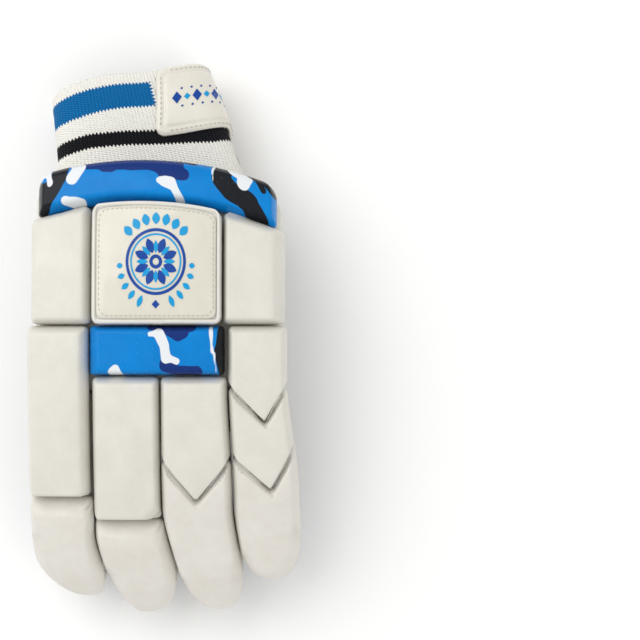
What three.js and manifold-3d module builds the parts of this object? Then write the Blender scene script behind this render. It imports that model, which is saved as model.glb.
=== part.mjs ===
// A left-hand cricket batting glove lying palm down, as an assembly of its sewn pieces.
// Every piece is drawn in the glove's flat pattern, and one bend then gives all of them the curled,
// arched form of a glove at rest. Pattern coordinates, in millimetres:
//   x  across the hand, from the index side (-) to the little-finger side (+)
//   s  along the hand, from the knuckle seam (0) to the fingertips (-) and to the cuff (+)
//   h  through the hand, from the middle of the hand cavity to the back (+) and to the palm (-)
// After the bend, +Z is up, the fingers point along -Y and the cuff along +Y.
import * as THREE from "three";
import { mergeVertices } from "three/addons/utils/BufferGeometryUtils.js";
import Module from "manifold-3d";

const solids = await Module();
solids.setup();
const { lerp, mapLinear, smoothstep, degToRad } = THREE.MathUtils;

// Driving dimensions, in millimetres
const INDEX_WIDTH = 34.6;
const MIDDLE_WIDTH = 36.2;
const RING_WIDTH = 35.8;
const LITTLE_WIDTH = 31.8;
const PAD_CLEARANCE = 0.6; // between two pads side by side
const LAYER_GAP = 0.45; // between two layers sewn on each other

const CAVITY_DEPTH = 21; // palm leather to back lining, where the hand goes
const PALM_LEATHER = 1.5;
const PATCH_LEATHER = 1.2;
const KNIT = 1.8; // wall of the knitted finger sides
const BACKING = 6; // padded base layer under the rolls
const BACKING_SHOULDER = 3;
const BACKING_INSET = 1.8; // in from the edge of the rolls above
const BACKING_TIP = 0.45; // length of a backing's round end, as a share of its finger's width
const ROLL_THICKNESS = 17;
const TIP_THICKNESS = 14.5;
const SHOULDER = 6; // bevel along a roll's edges
const TIP_SHOULDER = 11; // and at a fingertip
const CORNER = 3; // rounding of a pad's corners, seen from above

const KNUCKLE_TO_BADGE = 25.2; // length of the knuckle roll
const BADGE_LENGTH = 60.2; // badge panel, along the hand at its middle
const BADGE_SHOULDER = 4;
const BADGE_PLATE = 1.6;
const BADGE_RIM = 3.6; // margin of the panel round the plate
const BADGE_INSET = 2.6; // the panel stops short of the little-finger column
const ROW_BOW = 11.5; // the row above the knuckles bows towards the cuff at its middle
const ROW_SKEW = 0.04; // and slopes to the little-finger side
const SIDE_INSET = 2; // index side block, in from the roll below
const LITTLE_SIDE_INSET = 1;
const KNUCKLE_SHIFT = 1.2; // knuckle roll, against the columns below
const BAND_LENGTH = 21.5; // padded band over the wrist
const BAND_INSET = 5.5;
const BAND_CORNER = 8;

const INDEX_ROLL = 59.5; // knuckle seam to the far end of each roll
const MIDDLE_ROLL = 71;
const RING_ROLL = 61;
const RING_POINT = 20.5; // depth of the roll's V end
const LITTLE_UPPER_ROLL = 22.5;
const LITTLE_UPPER_POINT = 18;
const LITTLE_LOWER_ROLL = 55.5;
const LITTLE_LOWER_POINT = 19;
const LITTLE_LOWER_SKEW = 0.13; // this V is deeper on its outer side
const LITTLE_POINT_SHIFT = 2.5; // the little finger's V points lie off its middle
const ROLL_SEAM = 1.4; // between a roll and the tip pad that follows it

const INDEX_REACH = 115; // knuckle seam to each fingertip, along the finger
const MIDDLE_REACH = 125;
const RING_REACH = 123.5;
const LITTLE_REACH = 105;
const BACKING_SHORTER = 5; // ends of the finger backings, back from the pads' ends
const STALL_SHORTER = 7; // and of the finger stalls
const WEB = 28; // knuckle seam to where the fingers part
const BACK_WEB = 9; // knuckle seam to where their backings part
const STALL_HALF_WIDTH = 12.2; // finger stall at the palm leather
const STALL_FLARE = 2.6; // how much wider each side is at the back
const STALL_BULGE = 0.6;
const HEEL_HALF_WIDTH = 49; // hand shell at the wrist seam
const SEAM_EDGE = 1; // leather stands out past the knit that it is sewn to

const WRIST_SEAM = 101; // knuckle seam to where the palm leather meets the cuff
const CUFF_LENGTH = 68;
const CUFF_WALL = 2.5;
const CUFF_HALF_WIDTH = 51;
const CUFF_RIM_HALF_WIDTH = 42.4;
const CUFF_RIM_HALF_DEPTH = 17.5;
const CUFF_SHIFT = -3.5; // the cuff leans to the index side: its middle at the wrist seam
const CUFF_RIM_SHIFT = -20; // and at the rim
const CUFF_RIM_SLANT = 18; // the rim's little-finger side is this much further out
const STRAP_WIDTH = 36; // over the back of the wrist
const STRAP_PALM_WIDTH = 47;
const STRAP_THICKNESS = 2.4;
const STRAP_CORNER = 4;
const STRAP_MARGIN = 0.5; // from the strap's edge to the cuff's rim

const THUMB_REACH = 42; // knuckle seam to the thumb's tip
const THUMB_BASE = 88; // knuckle seam to the thumb's root
const THUMB_HALF_WIDTH = 18;
const THUMB_DEPTH = 17.4; // inside the thumb stall
const THUMB_BULGE = 0.8;
const THUMB_BACKING = 4;
const THUMB_PAD = 14.5;
const THUMB_PAD_HALF_WIDTH = 19;
const THUMB_PAD_OFFSET = 7; // the pads sit towards the little-finger side of the thumb
const THUMB_PAD_SHOULDER = 8;
const THUMB_PAD_OVERHANG = 3; // past both ends of the thumb stall
const THUMB_TIP_ROUND = 22;
const THUMB_BASE_CORNER = 9;
const THUMB_ROOT_X = -27;
const THUMB_TIP_X = -6;
const THUMB_HOLE_HALF_LENGTH = 17; // where the thumb leaves the palm
const THUMB_HOLE_HALF_WIDTH = 10.5;
const THUMB_HOLE_SHARE = 0.2; // its middle, as a share of the way from the thumb's root to its tip
const THUMB_SEAMS = [0.54, 0.8]; // seams between the three pads, as shares of the way from the tip

const VENT_LENGTH = 38; // slit at the heel of the palm, open towards the wrist
const VENT_HALF_WIDTH = 3.2;
const VENT_X = 37;
const BINDING_WIDTH = 7.5;
const BINDING_THICKNESS = 3;
const BINDING_EDGE = 1; // rounding of the binding's face
const BINDING_END = 10; // runs on past the wrist seam
const PATCH_LENGTH = 67; // palm patch, from the wrist seam
const PATCH_SLANT = 5; // its outer side runs on this much further
const PATCH_CLEARANCE = 2; // from the palm patch to the binding and the thumb

// Form of the glove at rest
const ARCH_DROP = 5; // outer columns below the middle ones
const LEAN_START = 64; // knuckle seam to where the fingers start to lean over
const LEAN_SOFTNESS = 20;
const LEAN = 0.35; // sideways lean of the fingertips, per millimetre
const LEAN_SPREAD = 0.16; // more on the index side, less on the other
const LEAN_DELAY = 0.4; // and later there, per millimetre across the hand
const LITTLE_SPLAY = 6.5; // the little finger stands away from the others
const LITTLE_SPLAY_LENGTH = 60;
const SPINE_HEIGHT = 50; // middle of the cavity above the ground, at its crown
const STEP = 14; // longest facet along the hand
const SAME_POINT = 2e-3;

// Slope in degrees, positive where the hand goes down towards the fingertips.
// `at` is a share of the reach from the knuckle seam to the middle fingertip or to the cuff's rim.
const FINGER_SLOPES = [
  { at: 0, slope: 4 },
  { at: 0.34, slope: 13 },
  { at: 0.69, slope: 26 },
  { at: 1.05, slope: 41 },
];
const CUFF_SLOPES = [
  { at: 0, slope: 4 },
  { at: 0.16, slope: 0 },
  { at: 0.48, slope: -10 },
  { at: 0.68, slope: -19 },
  { at: 1, slope: -22 },
];

// `far` is where a tip pad ends, as a share of its half width from its middle.
// `rounds` says how long its two rounded sides are, as shares of its width.
const FINGERS = [
  { name: "index", width: INDEX_WIDTH, reach: INDEX_REACH, far: 0.25, rounds: [1, 0.5] },
  { name: "middle", width: MIDDLE_WIDTH, reach: MIDDLE_REACH, far: -0.45, rounds: [0.72, 0.85] },
  { name: "ring", width: RING_WIDTH, reach: RING_REACH, far: -0.1, rounds: [0.56, 0.78] },
  { name: "little", width: LITTLE_WIDTH, reach: LITTLE_REACH, far: -0.15, rounds: [0.44, 0.82] },
];

// Bevels: where the points of a pad's edge lie, as shares of its shoulder
const BEVEL = [0, 1];
const SOFT = [0, 0.2, 1];
const MOST_SHOULDER = 0.4; // a shoulder takes at most this share of the pad
const WALL_SHARE = 0.5; // upright side of a pad below its bevel, as a share of its thickness
const TIP_FULLNESS = 2.3; // exponent of a fingertip's outline, 2 is an ellipse

// Strap ends, in degrees round the cuff from the little-finger side: over the back, and under the palm
const STRAP_START = [88, 80]; // at its two edges
const STRAP_END = -118;
const STRAP_WIDENS = [-10, 90]; // between these turns towards the palm
const CUFF_SQUARENESS = 0.62; // 1 is an ellipse, less is fuller at the corners
const CUFF_OPENS = 0.75; // it is fully open at this share of the way from the band to the rim
const CUFF_SIDES = 28;
const STRAP_FACETS = 18;

// Levels through the hand, from the sizes above
const CAVITY = CAVITY_DEPTH / 2;
const PALM_FACE = -CAVITY - PALM_LEATHER;
const PATCH_TOP = PALM_FACE - LAYER_GAP;
const PATCH_FACE = PATCH_TOP - PATCH_LEATHER;
const PAD_BASE = CAVITY + BACKING + LAYER_GAP;
const THUMB_CAVITY_TOP = PALM_FACE - LAYER_GAP - PALM_LEATHER;
const THUMB_CAVITY_FLOOR = THUMB_CAVITY_TOP - THUMB_DEPTH;
const THUMB_PAD_BASE = THUMB_CAVITY_FLOOR - THUMB_BACKING - LAYER_GAP;
const CUFF_RIM = WRIST_SEAM + CUFF_LENGTH;
const BAND_END = KNUCKLE_TO_BADGE + BADGE_LENGTH + BAND_LENGTH;
const SHELL_HALF = (INDEX_WIDTH + MIDDLE_WIDTH + RING_WIDTH + LITTLE_WIDTH) / 2;

let columnEdge = -SHELL_HALF;
for (const finger of FINGERS) {
  finger.left = columnEdge;
  finger.right = columnEdge + finger.width;
  finger.middle = columnEdge + finger.width / 2;
  columnEdge = finger.right;
}
const [INDEX, MIDDLE, RING, LITTLE] = FINGERS;

const surface = (color, roughness) => new THREE.MeshStandardMaterial({ color, roughness, metalness: 0 });
const white = surface(0xe9e7e0, 0.45);
const backingWhite = surface(0xe6e3d9, 0.55);
const leather = surface(0xdcd9d4, 0.6);
const knit = surface(0x1e6fb8, 0.9);
const cuffKnit = surface(0xefebe2, 0.9);
const mesh = surface(0xebe8e2, 0.85);
const camouflage = surface(0x1272c9, 0.35);
const cream = surface(0xe6e0d0, 0.3);

// The bend: slopes are summed up along the hand into a spine, and every piece follows it
function slopeAt(s) {
  const table = s < 0 ? FINGER_SLOPES : CUFF_SLOPES;
  const share = Math.abs(s) / (s < 0 ? MIDDLE_REACH : CUFF_RIM);
  const next = table.findIndex((row) => row.at > share);
  if (next < 0) return degToRad(table.at(-1).slope);
  const [low, high] = [table[next - 1], table[next]];
  return degToRad(mapLinear(share, low.at, high.at, low.slope, high.slope));
}

function spineTo(end) {
  const direction = Math.sign(end);
  const points = [{ y: 0, z: 0 }];
  for (let i = 0; i < Math.abs(end) + STEP; i++) {
    const slope = slopeAt(direction * (i + 0.5));
    const last = points.at(-1);
    points.push({ y: last.y + direction * Math.cos(slope), z: last.z + direction * Math.sin(slope) });
  }
  return points;
}
const toTips = spineTo(-Math.max(...FINGERS.map((finger) => finger.reach)));
const toCuff = spineTo(CUFF_RIM);
const crown = Math.max(...toCuff.map((point) => point.z));

function spineAt(s) {
  const side = s < 0 ? toTips : toCuff;
  const whole = Math.floor(Math.abs(s));
  const part = Math.abs(s) - whole;
  return {
    y: lerp(side[whole].y, side[whole + 1].y, part),
    z: lerp(side[whole].z, side[whole + 1].z, part) - crown + SPINE_HEIGHT,
  };
}

function leanAt(x, s) {
  const start = LEAN_START + LEAN_DELAY * Math.max(0, MIDDLE.right - x);
  const past = Math.max(0, -start - s);
  const share = LEAN - (LEAN_SPREAD * x) / LITTLE.middle;
  const beyondMiddle = Math.max(0, x - RING.left) / (LITTLE.right - RING.left);
  const splay = LITTLE_SPLAY * beyondMiddle ** 1.5 * smoothstep(-s, 0, LITTLE_SPLAY_LENGTH);
  return (share * past * past) / (past + LEAN_SOFTNESS) + splay;
}

function bend({ x, s, h }) {
  const spine = spineAt(s);
  const slope = slopeAt(s);
  return new THREE.Vector3(
    x + leanAt(x, s),
    spine.y - h * Math.sin(slope),
    spine.z + h * Math.cos(slope) - ARCH_DROP * (x / SHELL_HALF) ** 2,
  );
}

const asBent = (point) => point;
const onGround = (point) => point.setZ(Math.max(point.z, 0));

// Solids
function facesOut(geometry) {
  const index = geometry.index.array;
  const position = geometry.getAttribute("position");
  const [a, b, c] = [new THREE.Vector3(), new THREE.Vector3(), new THREE.Vector3()];
  let volume = 0;
  for (let i = 0; i < index.length; i += 3) {
    [a, b, c].forEach((corner, k) => corner.fromBufferAttribute(position, index[i + k]));
    volume += a.dot(b.cross(c));
  }
  if (volume < 0)
    for (let i = 0; i < index.length; i += 3) [index[i + 1], index[i + 2]] = [index[i + 2], index[i + 1]];
  return geometry;
}

// A closed body between two grids of points, such as a pad's top and bottom. With wrap, its ends meet.
function bodyBetween(outer, inner, { wrap = false, settle = asBent } = {}) {
  const rows = outer.length;
  const columns = outer[0].length;
  const positions = [];
  for (const grid of [outer, inner])
    for (const row of grid) for (const point of row) positions.push(...settle(bend(point)).toArray());
  const at = (layer, i, j) => layer * rows * columns + (i % rows) * columns + j;
  const index = [];
  const quad = (a, b, c, d) => index.push(a, b, c, a, c, d);
  const lastRow = wrap ? rows : rows - 1;
  for (let i = 0; i < lastRow; i++)
    for (let j = 0; j < columns - 1; j++) {
      quad(at(0, i, j), at(0, i + 1, j), at(0, i + 1, j + 1), at(0, i, j + 1));
      quad(at(1, i, j), at(1, i, j + 1), at(1, i + 1, j + 1), at(1, i + 1, j));
    }
  for (let i = 0; i < lastRow; i++) {
    quad(at(1, i, 0), at(1, i + 1, 0), at(0, i + 1, 0), at(0, i, 0));
    quad(at(0, i, columns - 1), at(0, i + 1, columns - 1), at(1, i + 1, columns - 1), at(1, i, columns - 1));
  }
  if (!wrap)
    for (let j = 0; j < columns - 1; j++) {
      quad(at(0, 0, j), at(0, 0, j + 1), at(1, 0, j + 1), at(1, 0, j));
      quad(at(0, rows - 1, j + 1), at(0, rows - 1, j), at(1, rows - 1, j), at(1, rows - 1, j + 1));
    }
  const geometry = new THREE.BufferGeometry();
  geometry.setAttribute("position", new THREE.Float32BufferAttribute(positions, 3));
  geometry.setIndex(index);
  return facesOut(geometry);
}

// Quarter-round rise from an edge: 0 at the edge, 1 from the radius inwards
function rise(distance, radius) {
  const short = 1 - Math.min(distance / radius, 1);
  return Math.sqrt(1 - short * short);
}

// Distances along a run: the points of its two edges, then even steps.
// Where a peak is given, the count is odd and the middle point lies there.
function stations(length, [first, last], { profile, peak }) {
  const most = length * MOST_SHOULDER;
  const lead = profile.map((share) => share * Math.min(first, most));
  const trail = profile.map((share) => length - share * Math.min(last, most)).reverse();
  const inner = trail[0] - lead.at(-1);
  let count = Math.max(1, Math.ceil(inner / STEP));
  if (peak) count = 2 * Math.ceil(count / 2);
  const between = [];
  for (let i = 1; i < count; i++) between.push(lead.at(-1) + (inner * i) / count);
  if (peak) between[count / 2 - 1] = peak;
  return [...lead, ...between, ...trail];
}

// A stuffed pad: `from` and `to` give its two ends as functions of x, `down` builds it towards the palm,
// and `shear` leans it over along its length
function pad({
  left,
  right,
  from,
  to,
  base = PAD_BASE,
  thickness = ROLL_THICKNESS,
  shoulder = SHOULDER,
  ends = [shoulder, shoulder],
  corner = CORNER,
  profile = SOFT,
  peak = (left + right) / 2,
  down = false,
  shear = 0,
}) {
  const width = right - left;
  const wall = thickness * WALL_SHARE;
  const length = to(peak) - from(peak);
  const across = stations(width, [shoulder, shoulder], { profile, peak: peak - left });
  const along = stations(length, ends, { profile }).map((distance) => distance / length);
  const top = [];
  const bottom = [];
  for (const fromLeft of across) {
    const topRow = [];
    const bottomRow = [];
    for (const run of along) {
      const flatX = left + fromLeft;
      const reach = to(flatX) - from(flatX);
      const inset = corner * (1 - rise(Math.min(run, 1 - run) * reach, corner));
      const x = flatX + inset * (1 - (2 * fromLeft) / width);
      const s = lerp(from(x), to(x), run);
      const sides = rise(Math.min(fromLeft, width - fromLeft), shoulder);
      const lengthways = run < 0.5 ? rise(run * reach, ends[0]) : rise((1 - run) * reach, ends[1]);
      const height = wall + (thickness - wall) * sides * lengthways;
      const sheared = x + shear * (s - from(peak));
      topRow.push({ x: sheared, s, h: base + (down ? -height : height) });
      bottomRow.push({ x: sheared, s, h: base });
    }
    top.push(topRow);
    bottom.push(bottomRow);
  }
  return bodyBetween(top, bottom, { settle: down ? onGround : asBent });
}

// Triangles on the two sides of a cut share every point that either has on it
function sharePoints(triangles, cuts) {
  const points = triangles.flat();
  const onCuts = cuts.map(({ axis, at }) => points.filter((p) => Math.abs(p[axis] - at) < SAME_POINT));
  const between = (p, q) => {
    if (Math.abs(p[2] - q[2]) > SAME_POINT) return undefined;
    for (const [i, { axis }] of cuts.entries()) {
      if (!onCuts[i].includes(p) || !onCuts[i].includes(q)) continue;
      const along = 1 - axis;
      const low = Math.min(p[along], q[along]) + SAME_POINT;
      const high = Math.max(p[along], q[along]) - SAME_POINT;
      return onCuts[i].find((m) => m[along] > low && m[along] < high && Math.abs(m[2] - p[2]) < SAME_POINT);
    }
    return undefined;
  };
  const split = (triangle) => {
    for (let i = 0; i < 3; i++) {
      const [p, q, r] = [0, 1, 2].map((k) => triangle[(i + k) % 3]);
      const middle = between(p, q);
      if (middle) return [...split([p, middle, r]), ...split([middle, q, r])];
    }
    return [triangle];
  };
  return triangles.flatMap(split);
}

// Flat leather cut to a shape in the pattern. It is divided into cells, so that it bends with the hand.
function cutLeather(shape, bottom, thickness) {
  const flat = new THREE.ExtrudeGeometry(shape, { depth: thickness, bevelEnabled: false, curveSegments: 6 });
  const merged = mergeVertices(flat.deleteAttribute("normal").deleteAttribute("uv"), SAME_POINT);
  const sheet = new solids.Mesh({
    numProp: 3,
    vertProperties: merged.getAttribute("position").array,
    triVerts: new Uint32Array(merged.index.array),
  });
  const { min, max } = new THREE.Box3().setFromBufferAttribute(merged.getAttribute("position"));
  const cuts = [INDEX, MIDDLE, RING].map(({ right }) => ({ axis: 0, at: right }));
  for (let s = (Math.floor(min.y / STEP) + 1) * STEP; s < max.y; s += STEP) cuts.push({ axis: 1, at: s });
  let cells = [new solids.Manifold(sheet)];
  for (const { axis, at } of cuts)
    cells = cells
      .flatMap((cell) => cell.splitByPlane(axis ? [0, 1, 0] : [1, 0, 0], at))
      .filter((cell) => !cell.isEmpty());

  const triangles = [];
  for (const cell of cells) {
    const { vertProperties, triVerts } = cell.getMesh();
    const corner = (k) => Array.from(vertProperties.subarray(3 * k, 3 * k + 3));
    for (let i = 0; i < triVerts.length; i += 3)
      triangles.push(Array.from(triVerts.subarray(i, i + 3), corner));
  }
  const onCut = (triangle) =>
    cuts.some(({ axis, at }) => triangle.every((corner) => Math.abs(corner[axis] - at) < SAME_POINT));
  const skin = triangles.filter((triangle) => !onCut(triangle));
  const positions = sharePoints(skin, cuts)
    .flat()
    .flatMap(([x, s, depth]) => bend({ x, s, h: bottom + depth }).toArray());
  const geometry = new THREE.BufferGeometry();
  geometry.setAttribute("position", new THREE.Float32BufferAttribute(positions, 3));
  return facesOut(mergeVertices(geometry, SAME_POINT));
}

// A wall along a path, standing between two levels. It flares outwards with height and bulges a little.
function wallAlong(path, { low, high, thickness, flare = 0, bulge = 0, wrap = false }) {
  const layer = (inset) =>
    path.map((point) =>
      [0, 0.5, 1].map((share) => {
        const spread = flare * share + bulge * Math.sin(Math.PI * share) - inset;
        const h = lerp(low, high, share);
        return { x: point.x + point.out * spread, s: point.s + point.end * spread, h };
      }),
    );
  return bodyBetween(layer(0), layer(thickness), { wrap });
}

// Part of an ellipse as path points, each with its outward direction. Angle 0 is the -X side, 90 the tips.
function arcPath({ x, s, across, along = across, angles }) {
  return angles.map(degToRad).map((angle) => ({
    x: x - across * Math.cos(angle),
    s: s - along * Math.sin(angle),
    out: -Math.cos(angle),
    end: -Math.sin(angle),
  }));
}
const HALF_TURN = [0, 30, 60, 90, 120, 150, 180];
const OTHER_HALF_TURN = HALF_TURN.map((angle) => angle + 180);

// Ends of the pads, as functions of x
const rowTop = (x) => KNUCKLE_TO_BADGE + BADGE_LENGTH - ROW_SKEW * x - ROW_BOW * (x / SHELL_HALF) ** 2;
const bandTop = (x) => rowTop(x) + BAND_LENGTH;
const level = (s) => () => s;
const plus = (line, clearance) => (x) => line(x) + clearance;

// A line with a V that points to the fingertips, between the two edges of its column
function chevron({ left, right, point, reach, depth, skew = 0 }) {
  return (x) => {
    const off = x < point ? (point - x) / (point - left) : (x - point) / (right - point);
    return -reach + depth * (x < point ? 1 - skew : 1 + skew) * Math.min(1, off);
  };
}

// A round end towards the fingertips
function fingertip({ left, right, far, reach, rounds }) {
  return (x) => {
    const off = x < far ? (far - x) / (far - left) : (x - far) / (right - far);
    const round = 1 - Math.sqrt(1 - Math.min(0.999, off) ** TIP_FULLNESS);
    return -reach + rounds[x < far ? 0 : 1] * round;
  };
}

const glove = new THREE.Group();
function add(name, geometry, material) {
  const piece = new THREE.Mesh(geometry, material);
  piece.name = name;
  glove.add(piece);
}

// Rolls and blocks over the back of the hand
const between = (left, right) => ({ left: left + PAD_CLEARANCE / 2, right: right - PAD_CLEARANCE / 2 });
const littlePoint = LITTLE.middle + LITTLE_POINT_SHIFT;
const ringEnd = chevron({ ...RING, point: RING.middle, reach: RING_ROLL, depth: RING_POINT });
const littleUpperEnd = chevron({
  ...LITTLE,
  point: littlePoint,
  reach: LITTLE_UPPER_ROLL,
  depth: LITTLE_UPPER_POINT,
});
const littleLowerEnd = chevron({
  ...LITTLE,
  point: littlePoint,
  reach: LITTLE_LOWER_ROLL,
  depth: LITTLE_LOWER_POINT,
  skew: LITTLE_LOWER_SKEW,
});

function addBadgeRow() {
  const sides = { from: level(KNUCKLE_TO_BADGE + PAD_CLEARANCE / 2), to: plus(rowTop, -PAD_CLEARANCE / 2) };
  const badgeEnd = RING.right - BADGE_INSET;
  add("index_side_block", pad({ ...between(INDEX.left + SIDE_INSET, INDEX.right), ...sides }), white);
  add("little_side_block", pad({ ...between(badgeEnd, LITTLE.right - LITTLE_SIDE_INSET), ...sides }), white);
  const panel = { ...between(MIDDLE.left, badgeEnd), ...sides };
  add("badge_panel", pad({ ...panel, shoulder: BADGE_SHOULDER }), cream);
  const plate = pad({
    left: panel.left + BADGE_RIM,
    right: panel.right - BADGE_RIM,
    from: plus(panel.from, BADGE_RIM),
    to: plus(panel.to, -BADGE_RIM),
    base: PAD_BASE + ROLL_THICKNESS + LAYER_GAP,
    thickness: BADGE_PLATE,
    shoulder: BADGE_PLATE,
    corner: BADGE_SHOULDER,
  });
  add("badge_plate", plate, cream);
}

function addRolls() {
  const seam = PAD_CLEARANCE / 2;
  const overKnuckle = level(KNUCKLE_TO_BADGE - seam);
  const underKnuckle = level(-seam);
  const knuckle = between(MIDDLE.left - KNUCKLE_SHIFT, RING.right - KNUCKLE_SHIFT);
  add("knuckle_roll", pad({ ...knuckle, from: level(seam), to: overKnuckle }), camouflage);
  const index = between(INDEX.left, INDEX.right - KNUCKLE_SHIFT);
  add("index_roll", pad({ ...index, from: level(-INDEX_ROLL), to: overKnuckle }), white);
  const middle = between(MIDDLE.left, MIDDLE.right);
  add("middle_roll", pad({ ...middle, from: level(-MIDDLE_ROLL), to: underKnuckle }), white);
  const ring = between(RING.left, RING.right);
  add("ring_roll", pad({ ...ring, from: ringEnd, to: underKnuckle }), white);
  const little = { ...between(LITTLE.left, LITTLE.right), peak: littlePoint };
  add("little_upper_roll", pad({ ...little, from: littleUpperEnd, to: overKnuckle }), white);
  const belowUpper = plus(littleUpperEnd, -ROLL_SEAM);
  add("little_lower_roll", pad({ ...little, from: littleLowerEnd, to: belowUpper }), white);
}

function addBand() {
  const band = between(INDEX.left + BAND_INSET, LITTLE.right - BAND_INSET);
  const from = plus(rowTop, PAD_CLEARANCE / 2);
  add("wrist_band_pad", pad({ ...band, from, to: bandTop, corner: BAND_CORNER }), camouflage);
}

function addTipPads() {
  const rollEnds = [level(-INDEX_ROLL), level(-MIDDLE_ROLL), ringEnd, littleLowerEnd];
  FINGERS.forEach((finger, i) => {
    const sides = between(finger.left, finger.right);
    const far = finger.middle + (finger.far * finger.width) / 2;
    const rounds = finger.rounds.map((share) => share * finger.width);
    const tip = pad({
      ...sides,
      thickness: TIP_THICKNESS,
      ends: [TIP_SHOULDER, SHOULDER],
      peak: finger === LITTLE ? littlePoint : finger.middle,
      from: fingertip({ ...sides, far, reach: finger.reach, rounds }),
      to: plus(rollEnds[i], -ROLL_SEAM),
    });
    add(finger.name + "_tip_pad", tip, white);
  });
}

// Padded base layer: one slab behind the hand and one behind each finger
function addBackings() {
  const layer = { base: CAVITY, thickness: BACKING, shoulder: BACKING_SHOULDER, profile: BEVEL };
  const slab = pad({
    ...layer,
    left: INDEX.left + BAND_INSET - BACKING_INSET,
    right: LITTLE.right - BAND_INSET + BACKING_INSET,
    from: level(-BACK_WEB + LAYER_GAP),
    to: plus(bandTop, -BACKING_SHOULDER),
    corner: BAND_CORNER,
  });
  add("hand_backing", slab, backingWhite);
  for (const finger of FINGERS) {
    const left = finger.left + BACKING_INSET;
    const right = finger.right - BACKING_INSET;
    const rounds = [finger.width * BACKING_TIP, finger.width * BACKING_TIP];
    const reach = finger.reach - BACKING_SHORTER;
    const from = fingertip({ left, right, far: finger.middle, reach, rounds });
    add(finger.name + "_backing", pad({ ...layer, left, right, from, to: level(-BACK_WEB) }), backingWhite);
  }
}

// Side of the hand shell, from the outer finger's stall to the wrist seam
function shellEdge(side, s) {
  const finger = side < 0 ? INDEX : LITTLE;
  const share = smoothstep(s, -WEB, WRIST_SEAM);
  return lerp(finger.middle + side * STALL_HALF_WIDTH, side * HEEL_HALF_WIDTH, share);
}

// Path of a finger's knitted side in the pattern: down one side, round the tip and back.
// An outer side runs on to the wrist. An inner one ends in a quarter turn that meets the next finger's.
function sidePath(finger) {
  const tip = -finger.reach + STALL_SHORTER + STALL_HALF_WIDTH;
  const outerLeg = (side) => {
    const count = Math.round((WRIST_SEAM + WEB) / STEP);
    const points = [];
    for (let i = 0; i <= count; i++) {
      const s = lerp(WRIST_SEAM - LAYER_GAP, -WEB, i / count);
      points.push({ x: shellEdge(side, s), s, out: side, end: 0 });
    }
    return points;
  };
  const innerTurn = (side, x) => {
    const border = (side < 0 ? finger.left : finger.right) - (side * PAD_CLEARANCE) / 2;
    const turn = Math.abs(border - x);
    return [0, 30, 60, 90].map(degToRad).map((angle) => ({
      x: border - side * turn * Math.sin(angle),
      s: -WEB - turn * (1 - Math.cos(angle)),
      out: side * Math.sin(angle),
      end: -Math.cos(angle),
    }));
  };
  const leg = (side) => {
    const x = finger.middle + side * STALL_HALF_WIDTH;
    const outermost = finger === (side < 0 ? INDEX : LITTLE);
    const points = outermost ? outerLeg(side) : innerTurn(side, x);
    const start = points.at(-1).s;
    const count = Math.max(1, Math.round((start - tip) / STEP));
    for (let i = 1; i < count; i++) points.push({ x, s: lerp(start, tip, i / count), out: side, end: 0 });
    return points;
  };
  const round = arcPath({ x: finger.middle, s: tip, across: STALL_HALF_WIDTH, angles: HALF_TURN });
  return [...leg(-1), ...round, ...leg(1).reverse()];
}

function addGussets() {
  const wall = {
    low: -CAVITY + LAYER_GAP,
    high: CAVITY - LAYER_GAP,
    thickness: KNIT,
    flare: STALL_FLARE,
    bulge: STALL_BULGE,
  };
  for (const finger of FINGERS) add(finger.name + "_gusset", wallAlong(sidePath(finger), wall), knit);
}

// Palm leather: one cut piece with the undersides of the four fingers, a hole for the thumb and the vent
const thumbX = (s) => mapLinear(s, THUMB_BASE, -THUMB_REACH, THUMB_ROOT_X, THUMB_TIP_X);
const thumbHoleAt = lerp(THUMB_BASE, -THUMB_REACH, THUMB_HOLE_SHARE);

function thumbHole(clearance) {
  const across = THUMB_HOLE_HALF_WIDTH + clearance;
  const along = THUMB_HOLE_HALF_LENGTH + clearance;
  const hole = new THREE.Path();
  return hole.absellipse(thumbX(thumbHoleAt), thumbHoleAt, across, along, 0, 2 * Math.PI, true, 0);
}

function palmShape() {
  const shape = new THREE.Shape();
  const half = STALL_HALF_WIDTH + SEAM_EDGE;
  const rows = [];
  for (let s = Math.floor((WRIST_SEAM - SEAM_EDGE) / STEP) * STEP; s > -WEB; s -= STEP) rows.push(s);
  shape.moveTo(shellEdge(-1, WRIST_SEAM) - SEAM_EDGE, WRIST_SEAM);
  for (const s of rows) shape.lineTo(shellEdge(-1, s) - SEAM_EDGE, s);
  shape.lineTo(INDEX.middle - half, -WEB);
  FINGERS.forEach((finger, i) => {
    const tip = -finger.reach + STALL_SHORTER + STALL_HALF_WIDTH;
    shape.absarc(finger.middle, tip, half, Math.PI, 2 * Math.PI, false);
    if (finger === LITTLE) return;
    const nextLeft = FINGERS[i + 1].middle - half;
    const radius = (nextLeft - finger.middle - half) / 2;
    shape.absarc(nextLeft - radius, -WEB - radius, radius, Math.PI, 0, true);
  });
  shape.lineTo(LITTLE.middle + half, -WEB);
  for (const s of rows.reverse()) shape.lineTo(shellEdge(1, s) + SEAM_EDGE, s);
  shape.lineTo(shellEdge(1, WRIST_SEAM) + SEAM_EDGE, WRIST_SEAM);
  shape.lineTo(VENT_X + VENT_HALF_WIDTH, WRIST_SEAM);
  const ventRound = WRIST_SEAM - VENT_LENGTH + VENT_HALF_WIDTH;
  shape.absarc(VENT_X, ventRound, VENT_HALF_WIDTH, 2 * Math.PI, Math.PI, true);
  shape.lineTo(VENT_X - VENT_HALF_WIDTH, WRIST_SEAM);
  shape.holes.push(thumbHole(0));
  return shape;
}

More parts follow.
